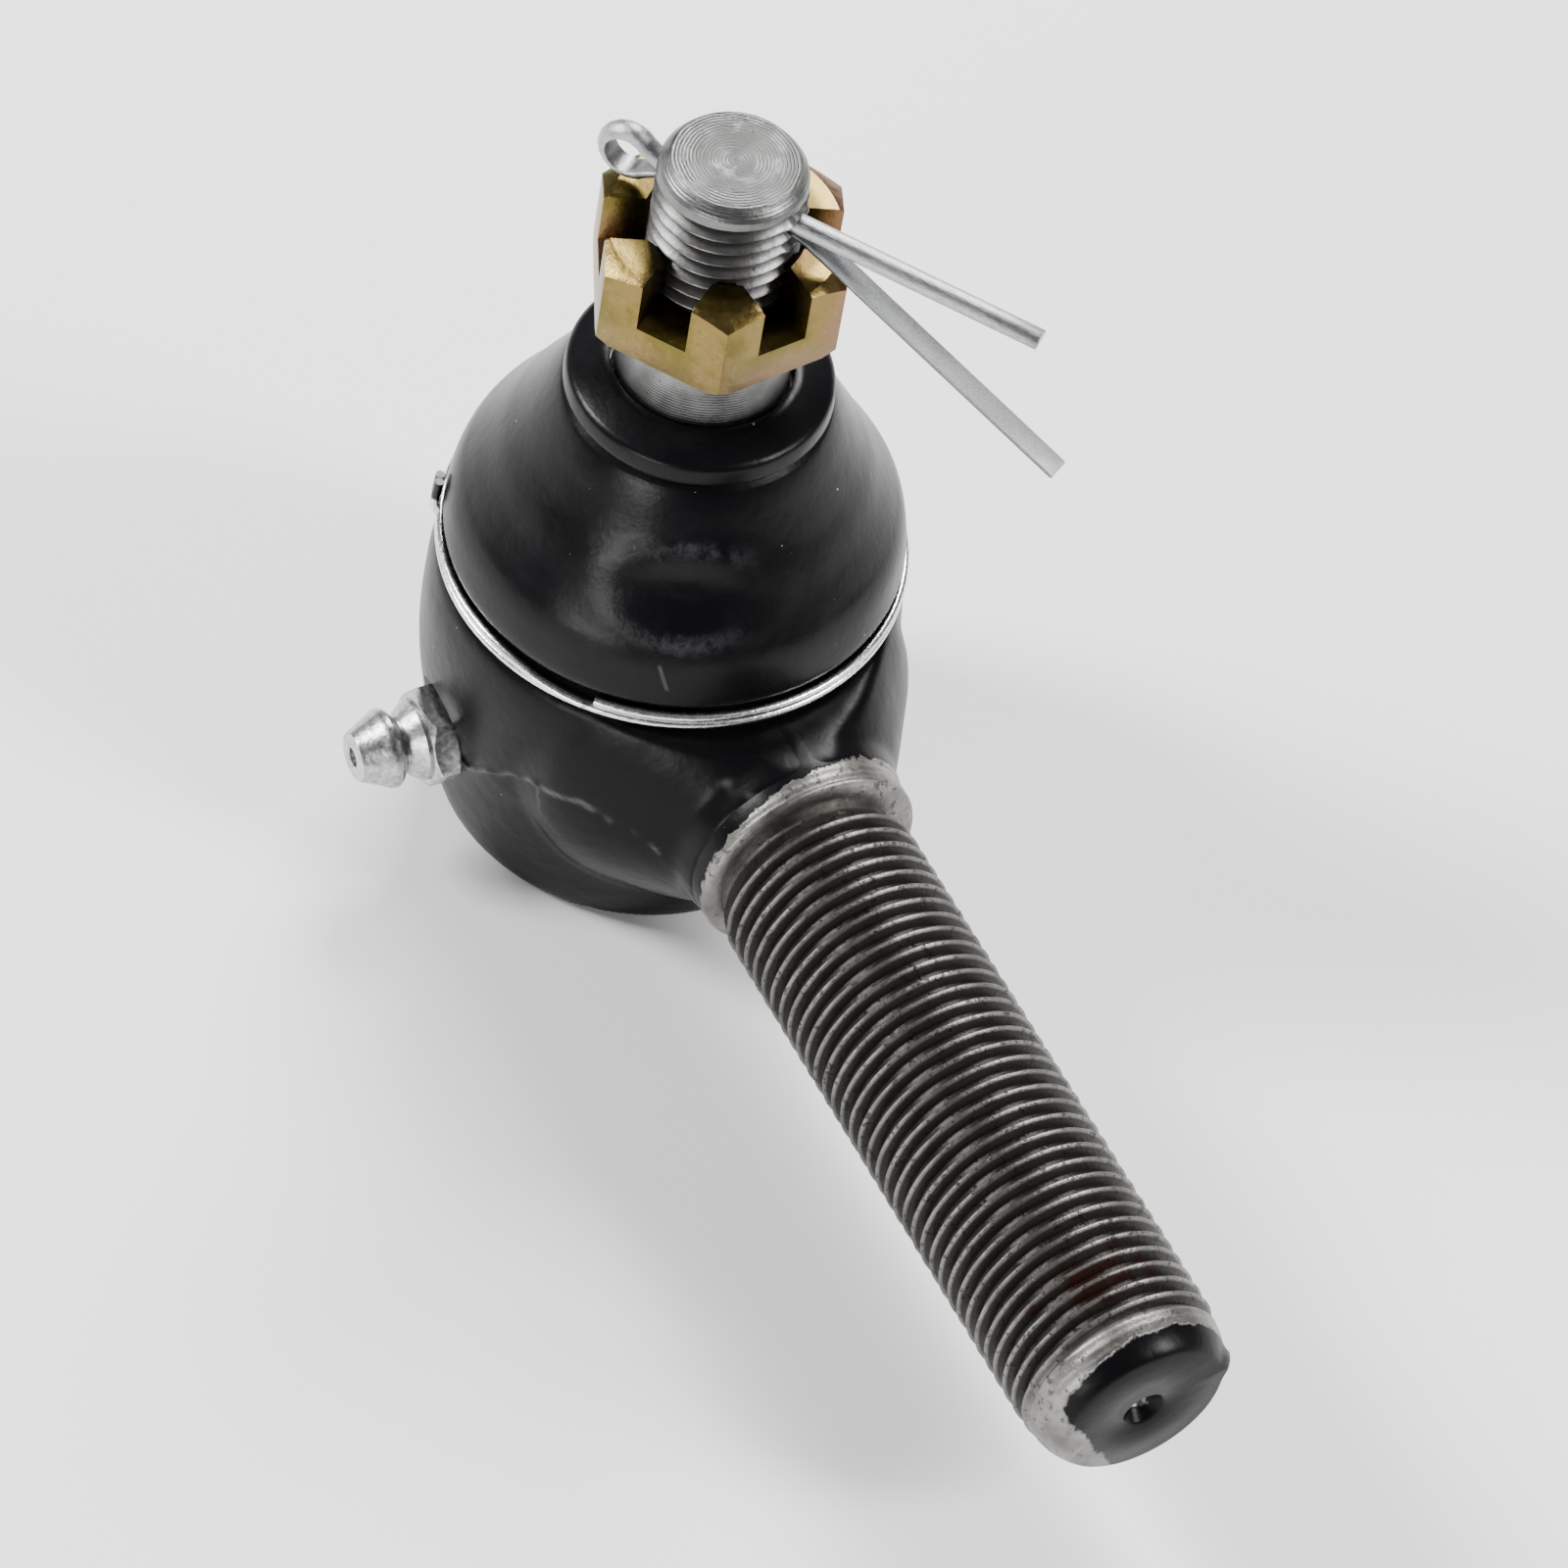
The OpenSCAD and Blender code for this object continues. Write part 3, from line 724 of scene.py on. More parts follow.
def between(value: float, low: float, high: float) -> float:
    """A smooth step from 0 at low to 1 at high.

    Args:
        value: the number to judge.
        low: where the step starts.
        high: where it ends; it may be the smaller.

    Returns:
        A number from 0 to 1.
    """
    t = min(1.0, max(0.0, (value - low) / (high - low)))
    return t * t * (3 - 2 * t)


def along(stations: Outline, place: float) -> float:
    """Reads a height from a list of (place, height) stations by straight lines."""
    if place <= stations[0][0]:
        return stations[0][1]
    for (a, ra), (b, rb) in zip(stations, stations[1:]):
        if place <= b:
            return ra + (rb - ra) * (place - a) / (b - a)
    return stations[-1][1]


def swept(section: Outline, frames: list[Matrix]) -> bmesh.types.BMesh:
    """Draws a closed section along a run of frames and closes both ends.

    Args:
        section: points in each frame's XY plane.
        frames: where the section stands, one after another.

    Returns:
        The mesh.
    """
    bm = bmesh.new()
    ring = [bm.verts.new(frames[0] @ Vector((a, b, 0))) for a, b in section]
    edges = [bm.edges.new(pair) for pair in zip(ring, ring[1:] + ring[:1])]
    start = edges
    for before, after in zip(frames, frames[1:]):
        grown = bmesh.ops.extrude_edge_only(bm, edges=edges)["geom"]
        verts = [part for part in grown if isinstance(part, bmesh.types.BMVert)]
        edges = [part for part in grown if isinstance(part, bmesh.types.BMEdge)]
        bmesh.ops.transform(bm, matrix=after @ before.inverted(), verts=verts)
    for rim in (start, edges):
        bmesh.ops.contextual_create(bm, geom=rim)
    bmesh.ops.recalc_face_normals(bm, faces=bm.faces)
    return bm


def prism(sides: int, radius: float, low: float, high: float, turn: float = 0.0) -> bmesh.types.BMesh:
    """An upright prism round the Z axis.

    Args:
        sides: the number of its sides.
        radius: the distance of its corners from the axis.
        low: its lowest height.
        high: its highest height.
        turn: the direction of its first corner, in radians.

    Returns:
        The mesh.
    """
    bm = bmesh.new()
    base = Matrix.Translation((0, 0, low)) @ Matrix.Rotation(turn - math.pi / 2, 4, "Z")
    bmesh.ops.create_circle(bm, cap_ends=True, segments=sides, radius=radius, matrix=base)
    grown = bmesh.ops.extrude_face_region(bm, geom=list(bm.faces))["geom"]
    verts = [part for part in grown if isinstance(part, bmesh.types.BMVert)]
    bmesh.ops.translate(bm, vec=(0, 0, high - low), verts=verts)
    bmesh.ops.recalc_face_normals(bm, faces=bm.faces)
    return bm


def joined(first: bmesh.types.BMesh, *others: bmesh.types.BMesh) -> bmesh.types.BMesh:
    """Puts several meshes into the first.

    Args:
        first: the mesh that takes the others in.
        others: the meshes to add; they are freed.

    Returns:
        The first mesh.
    """
    for other in others:
        carrier = bpy.data.meshes.new("carrier")
        other.to_mesh(carrier)
        other.free()
        first.from_mesh(carrier)
        bpy.data.meshes.remove(carrier)
    return first


class Workpiece:
    """A piece on the bench: a mesh in millimetres that is cut and shaped, then finished."""

    def __init__(self, name: str, bm: bmesh.types.BMesh) -> None:
        """Sets the mesh on the bench.

        Args:
            name: the piece's name.
            bm: its mesh, which is freed.
        """
        mesh = bpy.data.meshes.new(name)
        bm.to_mesh(mesh)
        bm.free()
        self.object = bpy.data.objects.new(name, mesh)
        bpy.context.scene.collection.objects.link(self.object)

    def modify(self, kind: str, **settings: object) -> "Workpiece":
        """Applies one modifier to the mesh.

        Args:
            kind: the modifier's type.
            settings: its properties.

        Returns:
            The workpiece.
        """
        modifier = self.object.modifiers.new(kind.lower(), kind)
        for name, setting in settings.items():
            setattr(modifier, name, setting)
        bpy.context.view_layer.update()
        ready = self.object.evaluated_get(bpy.context.evaluated_depsgraph_get())
        mesh = bpy.data.meshes.new_from_object(ready)
        old = self.object.data
        self.object.modifiers.clear()
        self.object.data = mesh
        bpy.data.meshes.remove(old)
        mesh.name = self.object.name
        return self

    def boolean(self, operation: str, *tools: bmesh.types.BMesh) -> "Workpiece":
        """Cuts, joins or keeps what is common with other solids.

        Args:
            operation: DIFFERENCE, UNION or INTERSECT.
            tools: the other solids, which are freed.

        Returns:
            The workpiece.
        """
        for bm in tools:
            tool = Workpiece(f"{self.object.name}_tool", bm).object
            self.modify("BOOLEAN", operation=operation, object=tool, solver="EXACT")
            mesh = tool.data
            bpy.data.objects.remove(tool)
            bpy.data.meshes.remove(mesh)
        return self

    def reshape(self, move: Callable[[Vector], Vector]) -> "Workpiece":
        """Moves every point of the mesh.

        Args:
            move: gives a point's new place from its old one.

        Returns:
            The workpiece.
        """
        for vertex in self.object.data.vertices:
            vertex.co = move(vertex.co.copy())
        self.object.data.update()
        return self

    def finish(self, body: str, slot: str, finish: Finish, crease: float = 32.0) -> bpy.types.Object:
        """Brings the piece to metres, shades it, dresses it and fixes it to its body.

        Args:
            body: the CAD body that it rides on.
            slot: the record's material slot; not used.
            finish: its finish.
            crease: the angle in degrees from which an edge looks sharp.

        Returns:
            The finished object.
        """
        mesh = self.object.data
        mesh.transform(Matrix.Scale(MM, 4))
        mesh.shade_smooth()
        mesh.set_sharp_from_angle(angle=math.radians(crease))
        mesh.materials.clear()
        mesh.materials.append(finish.material())
        if body:
            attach(self.object, body)
        LOG.info("%s: %d faces", self.object.name, len(mesh.polygons))
        return self.object


def grain(point: Vector, size: float, seed: float = 0.0) -> float:
    """Smooth noise from -1 to 1 at a point, with blotches of the given size in millimetres."""
    return noise.noise(point / size + Vector((seed, seed * 1.7, seed * 0.3)))


@dataclass
class ThreadedRod:
    """A rod along Z with a true helical thread between plain stretches."""

    radius: float
    pitch: float
    low: float
    high: float
    skirt: Outline
    below: Outline
    above: Outline
    depth_share: float = 0.6
    steps: int = 120
    wear: float = 0.05

    def profile(self) -> Outline:
        """One tooth after another, from below the thread's start to above its end."""
        root = self.radius - self.depth_share * self.pitch
        shape = [(root, 0.0), (root, 0.12), (self.radius - 0.06, 0.42), (self.radius, 0.5), (self.radius - 0.06, 0.58), (root, 0.88)]
        count = math.ceil((self.high - self.low) / self.pitch) + 3
        start = self.low - 2 * self.pitch
        return [(r, start + (i + share) * self.pitch) for i in range(count) for r, share in shape]

    def build(self) -> bmesh.types.BMesh:
        """Makes the rod.

        Returns:
            The closed mesh.
        """
        bm = spun(self.profile(), self.steps, advance=self.pitch)
        for place, side in ((self.low, -1), (self.high, 1)):
            geom = list(bm.verts) + list(bm.edges) + list(bm.faces)
            bmesh.ops.bisect_plane(bm, geom=geom, dist=0.0005, plane_co=(0, 0, place), plane_no=(0, 0, side), clear_outer=True)
        for vertex in bm.verts:
            flat = Vector((vertex.co.x, vertex.co.y))
            cut = max(0.0, self.radius - flat.length)
            uneven = max(0.0, grain(vertex.co, 1.1)) * self.wear
            reach = along(self.skirt, vertex.co.z)
            fade = between(vertex.co.z, self.low + 0.15, self.low + 0.8) * between(vertex.co.z, self.high - 0.1, self.high - 1.1)
            flat *= (reach - min(cut + uneven, self.depth_share * self.pitch) * fade) / flat.length
            vertex.co.x, vertex.co.y = flat
        self.extend(bm, self.low, self.below)
        self.extend(bm, self.high, self.above)
        bmesh.ops.remove_doubles(bm, verts=bm.verts, dist=0.001)
        bmesh.ops.recalc_face_normals(bm, faces=bm.faces)
        return bm

    def extend(self, bm: bmesh.types.BMesh, place: float, outline: Outline) -> None:
        """Grows plain rings from one cut end, and closes the last.

        Args:
            bm: the rod's mesh.
            place: the height of the cut end.
            outline: (radius, height) of each ring.
        """
        edges = [e for e in bm.edges if e.is_boundary and all(abs(v.co.z - place) < 0.01 for v in e.verts)]
        reach = along(self.skirt, place)
        for radius, height in outline:
            grown = bmesh.ops.extrude_edge_only(bm, edges=edges)["geom"]
            verts = [part for part in grown if isinstance(part, bmesh.types.BMVert)]
            edges = [part for part in grown if isinstance(part, bmesh.types.BMEdge)]
            for vertex in verts:
                vertex.co.x *= radius / reach
                vertex.co.y *= radius / reach
                vertex.co.z = height
            reach = radius
        bmesh.ops.contextual_create(bm, geom=edges)


# ---------------------------------------------------------------- sub-assemblies


@dataclass
class SocketForging:
    """The forged cup with its side neck, painted black, and the bare turned shank."""

    layout: Layout
    base_r: float = 15.6
    shoulder_z: float = 25.5
    land_r: float = 15.3
    bore_r: float = 12.3
    mouth_r: float = 13.2
    groove_r: float = 13.9
    neck_mid: tuple = (12.6, 15.0)
    neck_tip: tuple = (20.6, 9.3)
    neck_low: float = 2.4
    voxel: float = 0.3
    collar_r: float = 8.8
    collar_x: float = 22.9
    collar_off: float = 0.4
    collar_end: float = 24.9
    pitch: float = 1.411
    lead: float = 3.4
    nipple_seat: float = 17.5

    def to_shank(self) -> Matrix:
        """Turns a piece made along Z so that it lies along the shank."""
        return Matrix.Translation((0, 0, self.layout.shank_z)) @ Matrix.Rotation(math.radians(90), 4, "Y")

    def cup(self) -> bmesh.types.BMesh:
        """The cup's outside, closed over the land that the boot grips."""
        r, base, top = self.layout.cup_r, self.base_r, self.shoulder_z
        wall = flowing([(base, 0.6), (base + 0.9, 4), (r - 0.9, 9), (r - 0.15, 14), (r, 18), (r - 0.1, 22), (r - 0.5, top - 0.9)], 4)
        land = [(r - 1.2, top), (self.land_r, top), (self.land_r, self.layout.land_top), (0, self.layout.land_top)]
        return spun([(0, 0), (base - 0.5, 0)] + wall + land, 96)

    def neck(self) -> bmesh.types.BMesh:
        """The side neck: a cone towards the shank, flattened above and below."""
        back = 3.0
        back_r = math.sqrt(self.layout.cup_r ** 2 - back ** 2) - 0.3
        flare = [(back_r, back), (self.neck_mid[1] + 1.0, 9.0), self.neck_mid[::-1], (12.1, 16.9), self.neck_tip[::-1]]
        tip = [(self.collar_r + 0.14, self.collar_x - 0.5), (self.collar_r + 0.08, self.collar_x)]
        bm = spun([(0, back)] + flowing(flare, 6) + tip + [(0, self.collar_x)], 96)
        for vertex in bm.verts:
            self.lean(vertex, between(vertex.co.z, 14.0, 21.0))
        bmesh.ops.transform(bm, matrix=self.to_shank(), verts=bm.verts)
        for height, side in ((self.neck_low, -1), (self.shoulder_z - 0.15, 1)):
            geom = list(bm.verts) + list(bm.edges) + list(bm.faces)
            cut = bmesh.ops.bisect_plane(bm, geom=geom, dist=0.001, plane_co=(0, 0, height), plane_no=(0, 0, side), clear_outer=True)
            rim = [part for part in cut["geom_cut"] if isinstance(part, bmesh.types.BMEdge)]
            bmesh.ops.holes_fill(bm, edges=rim)
        bmesh.ops.recalc_face_normals(bm, faces=bm.faces)
        return bm

    def lean(self, vertex: bmesh.types.BMVert, share: float) -> None:
        """Shifts a point sideways, because the collar isn't centred on the thread.

        Args:
            vertex: a point in the shank's own frame.
            share: how much of the shift it gets.
        """
        vertex.co.x -= share * self.collar_off * math.sin(math.radians(25))
        vertex.co.y += share * self.collar_off * math.cos(math.radians(25))

    def flash_line(self, turn: float) -> float:
        """Height of the forging's flash line at a direction in degrees from the shank."""
        stations = [(-120, 9.0), (-78, 11.4), (-64, 15.3), (-54, 17.1), (-44, 17.9), (-34, 17.65), (-28, 16.8), (-23, 15.1), (-17.5, 10.9), (-12, 5.0)]
        return along(stations, turn)

    def hammered(self, point: Vector) -> Vector:
        """Adds what the dies left: the flash line's step, its ridge and an uneven skin."""
        flat = Vector((point.x, point.y, 0))
        if flat.length < 11 or point.z < 0.35 or point.z > self.shoulder_z - 0.3:
            return point
        outward = flat.normalized()
        turn = math.degrees(math.atan2(point.y, point.x))
        push = grain(point, 6.0) * 0.05 + grain(point, 2.2, 3.0) * 0.018
        if flat.length < 19.0:
            line = self.flash_line(-abs(turn)) + grain(point, 2.0, 9.0) * 0.35
            span = between(abs(turn), 110, 80) * between(abs(turn), 10, 16)
            below = between(point.z, line + 0.35, line - 0.5)
            ridge = math.exp(-((point.z - line) / 0.3) ** 2)
            push += span * (0.14 * ridge * (1 + grain(point, 1.3, 5.0)) - 0.17 * below * between(point.z, 1.0, 5.0))
        return point + outward * push

    def scar(self, mesh: bpy.types.Mesh) -> None:
        """Stores a painted highlight, a pale broken line along the flash line's edge and along the neck's upper ridge,
        as an attribute for the finish.

        Args:
            mesh: the forging's mesh, in millimetres.
        """
        glint_layer = mesh.attributes.new("scar", "FLOAT", "POINT")
        for vertex, glint in zip(mesh.vertices, glint_layer.data):
            spot = vertex.co
            turn = math.degrees(math.atan2(spot.y, spot.x))
            line = self.flash_line(-abs(turn)) + grain(spot, 2.0, 9.0) * 0.35
            # Painted highlight along the flash line's edge and along the neck's upper ridge, broken up by noise.
            near = math.exp(-((spot.z - line) / 0.24) ** 2) * between(abs(turn), 92, 76) * between(abs(turn), 14, 20)
            upper = math.exp(-((spot.z - 23.9) / 0.22) ** 2) * between(turn, -26, -21) * between(turn, 4, -2)
            uneven = between(grain(spot, 1.6, 7.0), -0.15, 0.45)
            glint.value = uneven * (near + upper) if spot.xy.length > 14 else 0.0

    def cavity(self) -> bmesh.types.BMesh:
        """What is bored out of the socket: the mouth, the ring's groove, the bore and the throat."""
        ball_z, top = self.layout.ball_z, self.layout.land_top
        outline = [
            (0, -1), (self.mouth_r, -1), (self.mouth_r, 0.6), (self.groove_r, 0.6), (self.groove_r, 1.9),
            (self.mouth_r, 1.9), (self.mouth_r, 4.1), (self.bore_r, 4.1), (self.bore_r, ball_z + 5.1),
            (8.8, ball_z + 5.1), (11.2, top + 0.01), (11.2, top + 1), (0, top + 1),
        ]
        return spun(outline, 96)

    def nipple_hole(self) -> bmesh.types.BMesh:
        """The flat and the hole that take the grease nipple."""
        bm = spun([(0, self.bore_r - 3), (3.0, self.bore_r - 3), (3.0, self.nipple_seat), (4.47, self.nipple_seat), (4.47, 22), (0, 22)], 48)
        bmesh.ops.transform(bm, matrix=nipple_frame(self.layout, 0), verts=bm.verts)
        return bm

    def forging(self) -> bpy.types.Object:
        """Builds the cup and neck as one blended forging."""
        piece = Workpiece("socket_forging", joined(self.cup(), self.neck()))
        piece.modify("REMESH", mode="VOXEL", voxel_size=self.voxel, adaptivity=0.0)
        piece.modify("SMOOTH", factor=0.5, iterations=16)
        piece.reshape(self.level)
        piece.reshape(self.hammered)
        piece.boolean("DIFFERENCE", self.cavity(), self.nipple_hole())
        self.scar(piece.object.data)
        made = piece.finish("socket", "painted_forging", PaintedForging(), 40)
        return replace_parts(made, "housing") or made

    def level(self, point: Vector) -> Vector:
        """Brings the underside back to its plane, which smoothing rounds a little."""
        if point.z < 0.25:
            point.z = max(0.0, point.z * 0.5)
        return point

    def shank(self) -> bpy.types.Object:
        """Builds the turned collar and the threaded shank."""
        r, end = self.layout.shank_r, self.layout.shank_end
        root = r - 0.6 * self.pitch
        start, last = 25.7, end - self.lead + 0.4
        rod = ThreadedRod(
            radius=r, pitch=self.pitch, low=start, high=last,
            skirt=[(start, root), (start + 0.9, r), (last - 1.2, r), (last, r - 0.3)],
            below=[(root, 25.0), (self.collar_r - 0.45, self.collar_end - 0.05), (self.collar_r - 0.1, 24.62), (self.collar_r, 24.4),
                   (self.collar_r, 22.0), (self.collar_r, 19.0), (self.collar_r, 15.0)],
            above=[(r - 0.36, end - 2.4), (r - 0.55, end - 1.7), (r - 0.85, end - 1.05), (r - 1.15, end - 0.55), (r - 1.45, end - 0.18),
                   (r - 1.7, end), (4.0, end), (1.75, end), (1.55, end - 0.2), (0.25, end - 2.1)],
        )
        bm = rod.build()
        for vertex in bm.verts:
            self.lean(vertex, between(vertex.co.z, self.collar_end + 0.1, self.collar_end - 0.15))
            turn = math.atan2(vertex.co.y, vertex.co.x) - math.radians(102.7)
            drip = 0.5 * math.exp(-(turn / 0.13) ** 2) * between(vertex.co.z, end - 1.7, end - 0.9)
            if vertex.co.xy.length > 4.5:
                vertex.co.xy *= 1 + drip / vertex.co.xy.length
        bmesh.ops.transform(bm, matrix=self.to_shank(), verts=bm.verts)
        return Workpiece("threaded_shank", bm).finish("socket", "painted_forging", PaintedForging(), 50)

    def build(self) -> list[bpy.types.Object]:
        """Builds the forging and its shank."""
        return [self.forging(), self.shank()]


def nipple_frame(layout: Layout, reach: float) -> Matrix:
    """A frame whose Z axis points out along the grease nipple.

    Args:
        layout: the part's layout.
        reach: the distance from the socket's axis, in millimetres.

    Returns:
        The frame's matrix.
    """
    turn = layout.nipple_dir.to_track_quat("Z", "Y").to_matrix().to_4x4()
    return Matrix.Translation(layout.nipple_dir * reach + Vector((0, 0, layout.nipple_z))) @ turn


@dataclass
class BallStud:
    """The ball stud, its castle nut and its split pin."""

    layout: Layout
    ball_r: float = 9.5
    neck_r: float = 4.6
    taper_z: float = 37.2
    taper_r: float = 7.1
    taper_top: float = 53.2
    taper_top_r: float = 6.1
    stud_r: float = 5.555
    pitch: float = 1.27
    chamfer: float = 0.75
    pin_z: float = 64.85
    pin_turn: float = math.radians(36)
    pin_r: float = 0.93
    hole_r: float = 1.13
    nut_af: float = 17.46
    nut_turn: float = math.radians(-25.3)
    slot_w: float = 4.0
    slot_depth: float = 4.5
    short_leg: tuple = (18.8, 4.0, 2.0)
    long_leg: tuple = (25.0, 22.0, -6.0)

    def ball_outline(self) -> Outline:
        """Rings of the taper, the waist and the ball, from the thread down."""
        steps = 22
        ball_z = self.layout.ball_z
        top_angle = math.asin(self.neck_r / self.ball_r)
        rings = [(self.taper_top_r - 0.25, self.taper_top + 0.02), (self.taper_top_r, self.taper_top - 0.25)]
        rings += [(self.taper_top_r + (self.taper_r - self.taper_top_r) * i / 4, self.taper_top + (self.taper_z - self.taper_top) * i / 4) for i in range(1, 5)]
        rings += [(self.taper_r - 0.2, 36.7), (self.taper_r - 0.6, 36.1), (self.neck_r + 0.9, 33.6), (self.neck_r + 0.25, 31.6), (self.neck_r, 29.6)]
        for i in range(steps):
            angle = top_angle + (math.pi - top_angle) * i / steps
            rings.append((self.ball_r * math.sin(angle), ball_z + self.ball_r * math.cos(angle)))
        return rings + [(0.3, ball_z - self.ball_r)]

    def stud(self) -> bpy.types.Object:
        """Builds the stud with its thread, cross hole and torn hole edge."""
        top = self.layout.stud_top
        core = self.stud_r - 0.6 * self.pitch
        low, high = self.taper_top + 0.6, top - self.chamfer - 0.15
        rod = ThreadedRod(
            radius=self.stud_r, pitch=self.pitch, low=low, high=high,
            skirt=[(low, core), (low + 0.8, self.stud_r), (high - 0.6, self.stud_r), (high, self.stud_r - 0.12)],
            below=self.ball_outline(),
            above=[(self.stud_r - 0.25, top - self.chamfer), (self.stud_r - 0.75, top - 0.06), (self.stud_r - 0.9, top), (2.6, top), (0.4, top - 0.03)],
            wear=0.035,
        )
        piece = Workpiece("ball_stud_turned", rod.build())
        hole = spun([(0, -8), (self.hole_r, -8), (self.hole_r, 8), (0, 8)], 40)
        bmesh.ops.transform(hole, matrix=self.pin_frame(), verts=hole.verts)
        piece.boolean("DIFFERENCE", hole)
        piece.reshape(self.torn)
        made = piece.finish("stud", "turned_steel", TurnedSteel(), 42)
        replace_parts(made, "ball_stud")
        return made

    def pin_frame(self) -> Matrix:
        """A frame at the cross hole's middle whose Z axis runs along the pin, towards its legs."""
        place = Matrix.Translation((0, 0, self.pin_z)) @ Matrix.Rotation(self.pin_turn, 4, "Z")
        return place @ Matrix.Rotation(math.radians(90), 4, "Y")

    def torn(self, point: Vector) -> Vector:
        """Roughens the thread round the cross hole, where the drill tore it."""
        direction = Vector((math.cos(self.pin_turn), math.sin(self.pin_turn), 0))
        side = point - Vector((0, 0, self.pin_z))
        reach = side.dot(direction)
        off = (side - direction * reach).length
        if reach > 2 and self.hole_r - 0.2 < off < 3.2:
            push = between(off, 3.2, 1.5) * (0.10 + 0.28 * grain(point, 0.7, 2.0))
            return point + direction * push
        return point

    def nut(self) -> bpy.types.Object:
        """Builds the castle nut."""
        low, high = self.layout.nut_low, self.layout.nut_high
        corner = self.nut_af / 2 / math.cos(math.radians(30))
        crown = self.nut_af / 2 * 0.985
        piece = Workpiece("castle_nut_plated", prism(6, corner, low, high, self.nut_turn))
        dome = spun([(0, low - 1), (corner - 0.8, low - 0.2), (corner + 0.05, low + 0.45), (corner + 0.05, high - (corner - crown) * 0.56),
                     (crown, high), (0, high + 0.01)], 128)
        slots = []
        for i in range(3):
            slot = bmesh.new()
            bmesh.ops.create_cube(slot, size=1.0)
            bmesh.ops.scale(slot, vec=(3 * corner, self.slot_w, self.slot_depth + 1), verts=slot.verts)
            place = Matrix.Translation((0, 0, high - self.slot_depth / 2 + 0.5)) @ Matrix.Rotation(self.nut_turn + math.radians(30 + 60 * i), 4, "Z")
            bmesh.ops.transform(slot, matrix=place, verts=slot.verts)
            slots.append(slot)
        bore = ThreadedRod(
            radius=self.stud_r + 0.12, pitch=self.pitch, low=low - 0.5, high=high + 0.5,
            skirt=[(low, self.stud_r + 0.12), (high, self.stud_r + 0.12)],
            below=[(self.stud_r + 0.1, low - 1)], above=[(self.stud_r + 0.1, high + 1)], steps=72, wear=0.0, depth_share=0.42,
        ).build()
        mouth = spun([(0, low - 1), (self.stud_r + 1.3, low - 0.5), (self.stud_r - 0.2, low + 1.0), (0, low + 1.0)], 72)
        lid = spun([(0, high + 1), (self.stud_r + 1.2, high + 0.7), (self.stud_r - 0.2, high - 0.6), (0, high - 0.6)], 72)
        piece.boolean("INTERSECT", dome).boolean("DIFFERENCE", *slots)
        piece.modify("BEVEL", width=0.14, segments=2, limit_method="ANGLE", angle_limit=math.radians(28))
        piece.boolean("DIFFERENCE", bore, mouth, lid)
        made = piece.finish("stud", "yellow_zinc", YellowZinc(), 30)
        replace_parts(made, "castle_nut")
        return made

    def pin_path(self) -> list[tuple[Vector, Vector]]:
        """Places along the pin's flat side, each with the direction that the flat faces.

        The path runs in from the short leg's tip, round the eye and out to the long leg's tip.
        """
        out = self.stud_r + 0.5
        tail = -self.stud_r - 0.3
        eye_r, wrap = 1.56, 14
        eye_x = tail - 0.75 - eye_r
        up, down = Vector((0, 0, 1)), Vector((0, 0, -1))
        half = 0.04
        path: list[tuple[Vector, Vector]] = []
        for leg, side in ((self.short_leg, 1), (self.long_leg, -1)):
            length, drop, aside = leg
            slope = Matrix.Rotation(math.radians(aside), 3, "Z") @ Matrix.Rotation(math.radians(drop), 3, "Y")
            run = slope @ Vector((1, 0, 0))
            face = slope @ (down if side > 0 else up)
            stations = [(Vector((out, 0, side * half)) + run * length * share, face) for share in (1.0, 0.75, 0.5, 0.25, 0.08, 0.03)]
            stations.append((Vector((out - 0.4, 0, side * half)), (face + (down if side > 0 else up)).normalized()))
            stations.append((Vector((tail + 0.5, 0, side * half)), down if side > 0 else up))
            if side > 0:
                path += stations
                for i in range(wrap + 1):
                    angle = math.radians(38) + (math.tau - 2 * math.radians(38)) * i / wrap
                    spot = Vector((eye_x + eye_r * math.cos(angle), 0, eye_r * math.sin(angle)))
                    path.append((spot, Vector((-math.cos(angle), 0, -math.sin(angle)))))
            else:
                path += stations[::-1]
        return path

    def pin(self) -> bpy.types.Object:
        """Builds the split pin from one half-round wire."""
        place = Matrix.Translation((0, 0, self.pin_z)) @ Matrix.Rotation(self.pin_turn, 4, "Z")
        path = self.pin_path()
        frames = []
        for i, (spot, face) in enumerate(path):
            ahead = (path[min(i + 1, len(path) - 1)][0] - path[max(i - 1, 0)][0]).normalized()
            aside = face.cross(ahead).normalized()
            face = ahead.cross(aside)
            turn = Matrix((aside, face, ahead)).transposed().to_4x4()
            frames.append(place @ Matrix.Translation(spot) @ turn)
        r = self.pin_r
        arc = [(-r * math.cos(math.pi * i / 10), -r * math.sin(math.pi * i / 10)) for i in range(11)]
        section = [(-r + 0.12, 0.0)] + [(a, b - 0.02) for a, b in arc] + [(r - 0.12, 0.0)]
        section = [(a, b) for a, b in section]
        piece = Workpiece("split_pin_bent", swept(section, frames))
        piece.modify("BEVEL", width=0.08, segments=2, limit_method="ANGLE", angle_limit=math.radians(60))
        streak = Plated("pin_zinc", streak=(1.0, 8.0, 8.0), turn=(0.0, 0.0, -self.pin_turn), rough=0.22, dirt=0.35)
        made = piece.finish("stud", "bright_zinc", streak, 40)
        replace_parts(made, "split_pin")
        return made

    def build(self) -> list[bpy.types.Object]:
        """Builds the stud, the nut and the pin."""
        return [self.stud(), self.nut(), self.pin()]


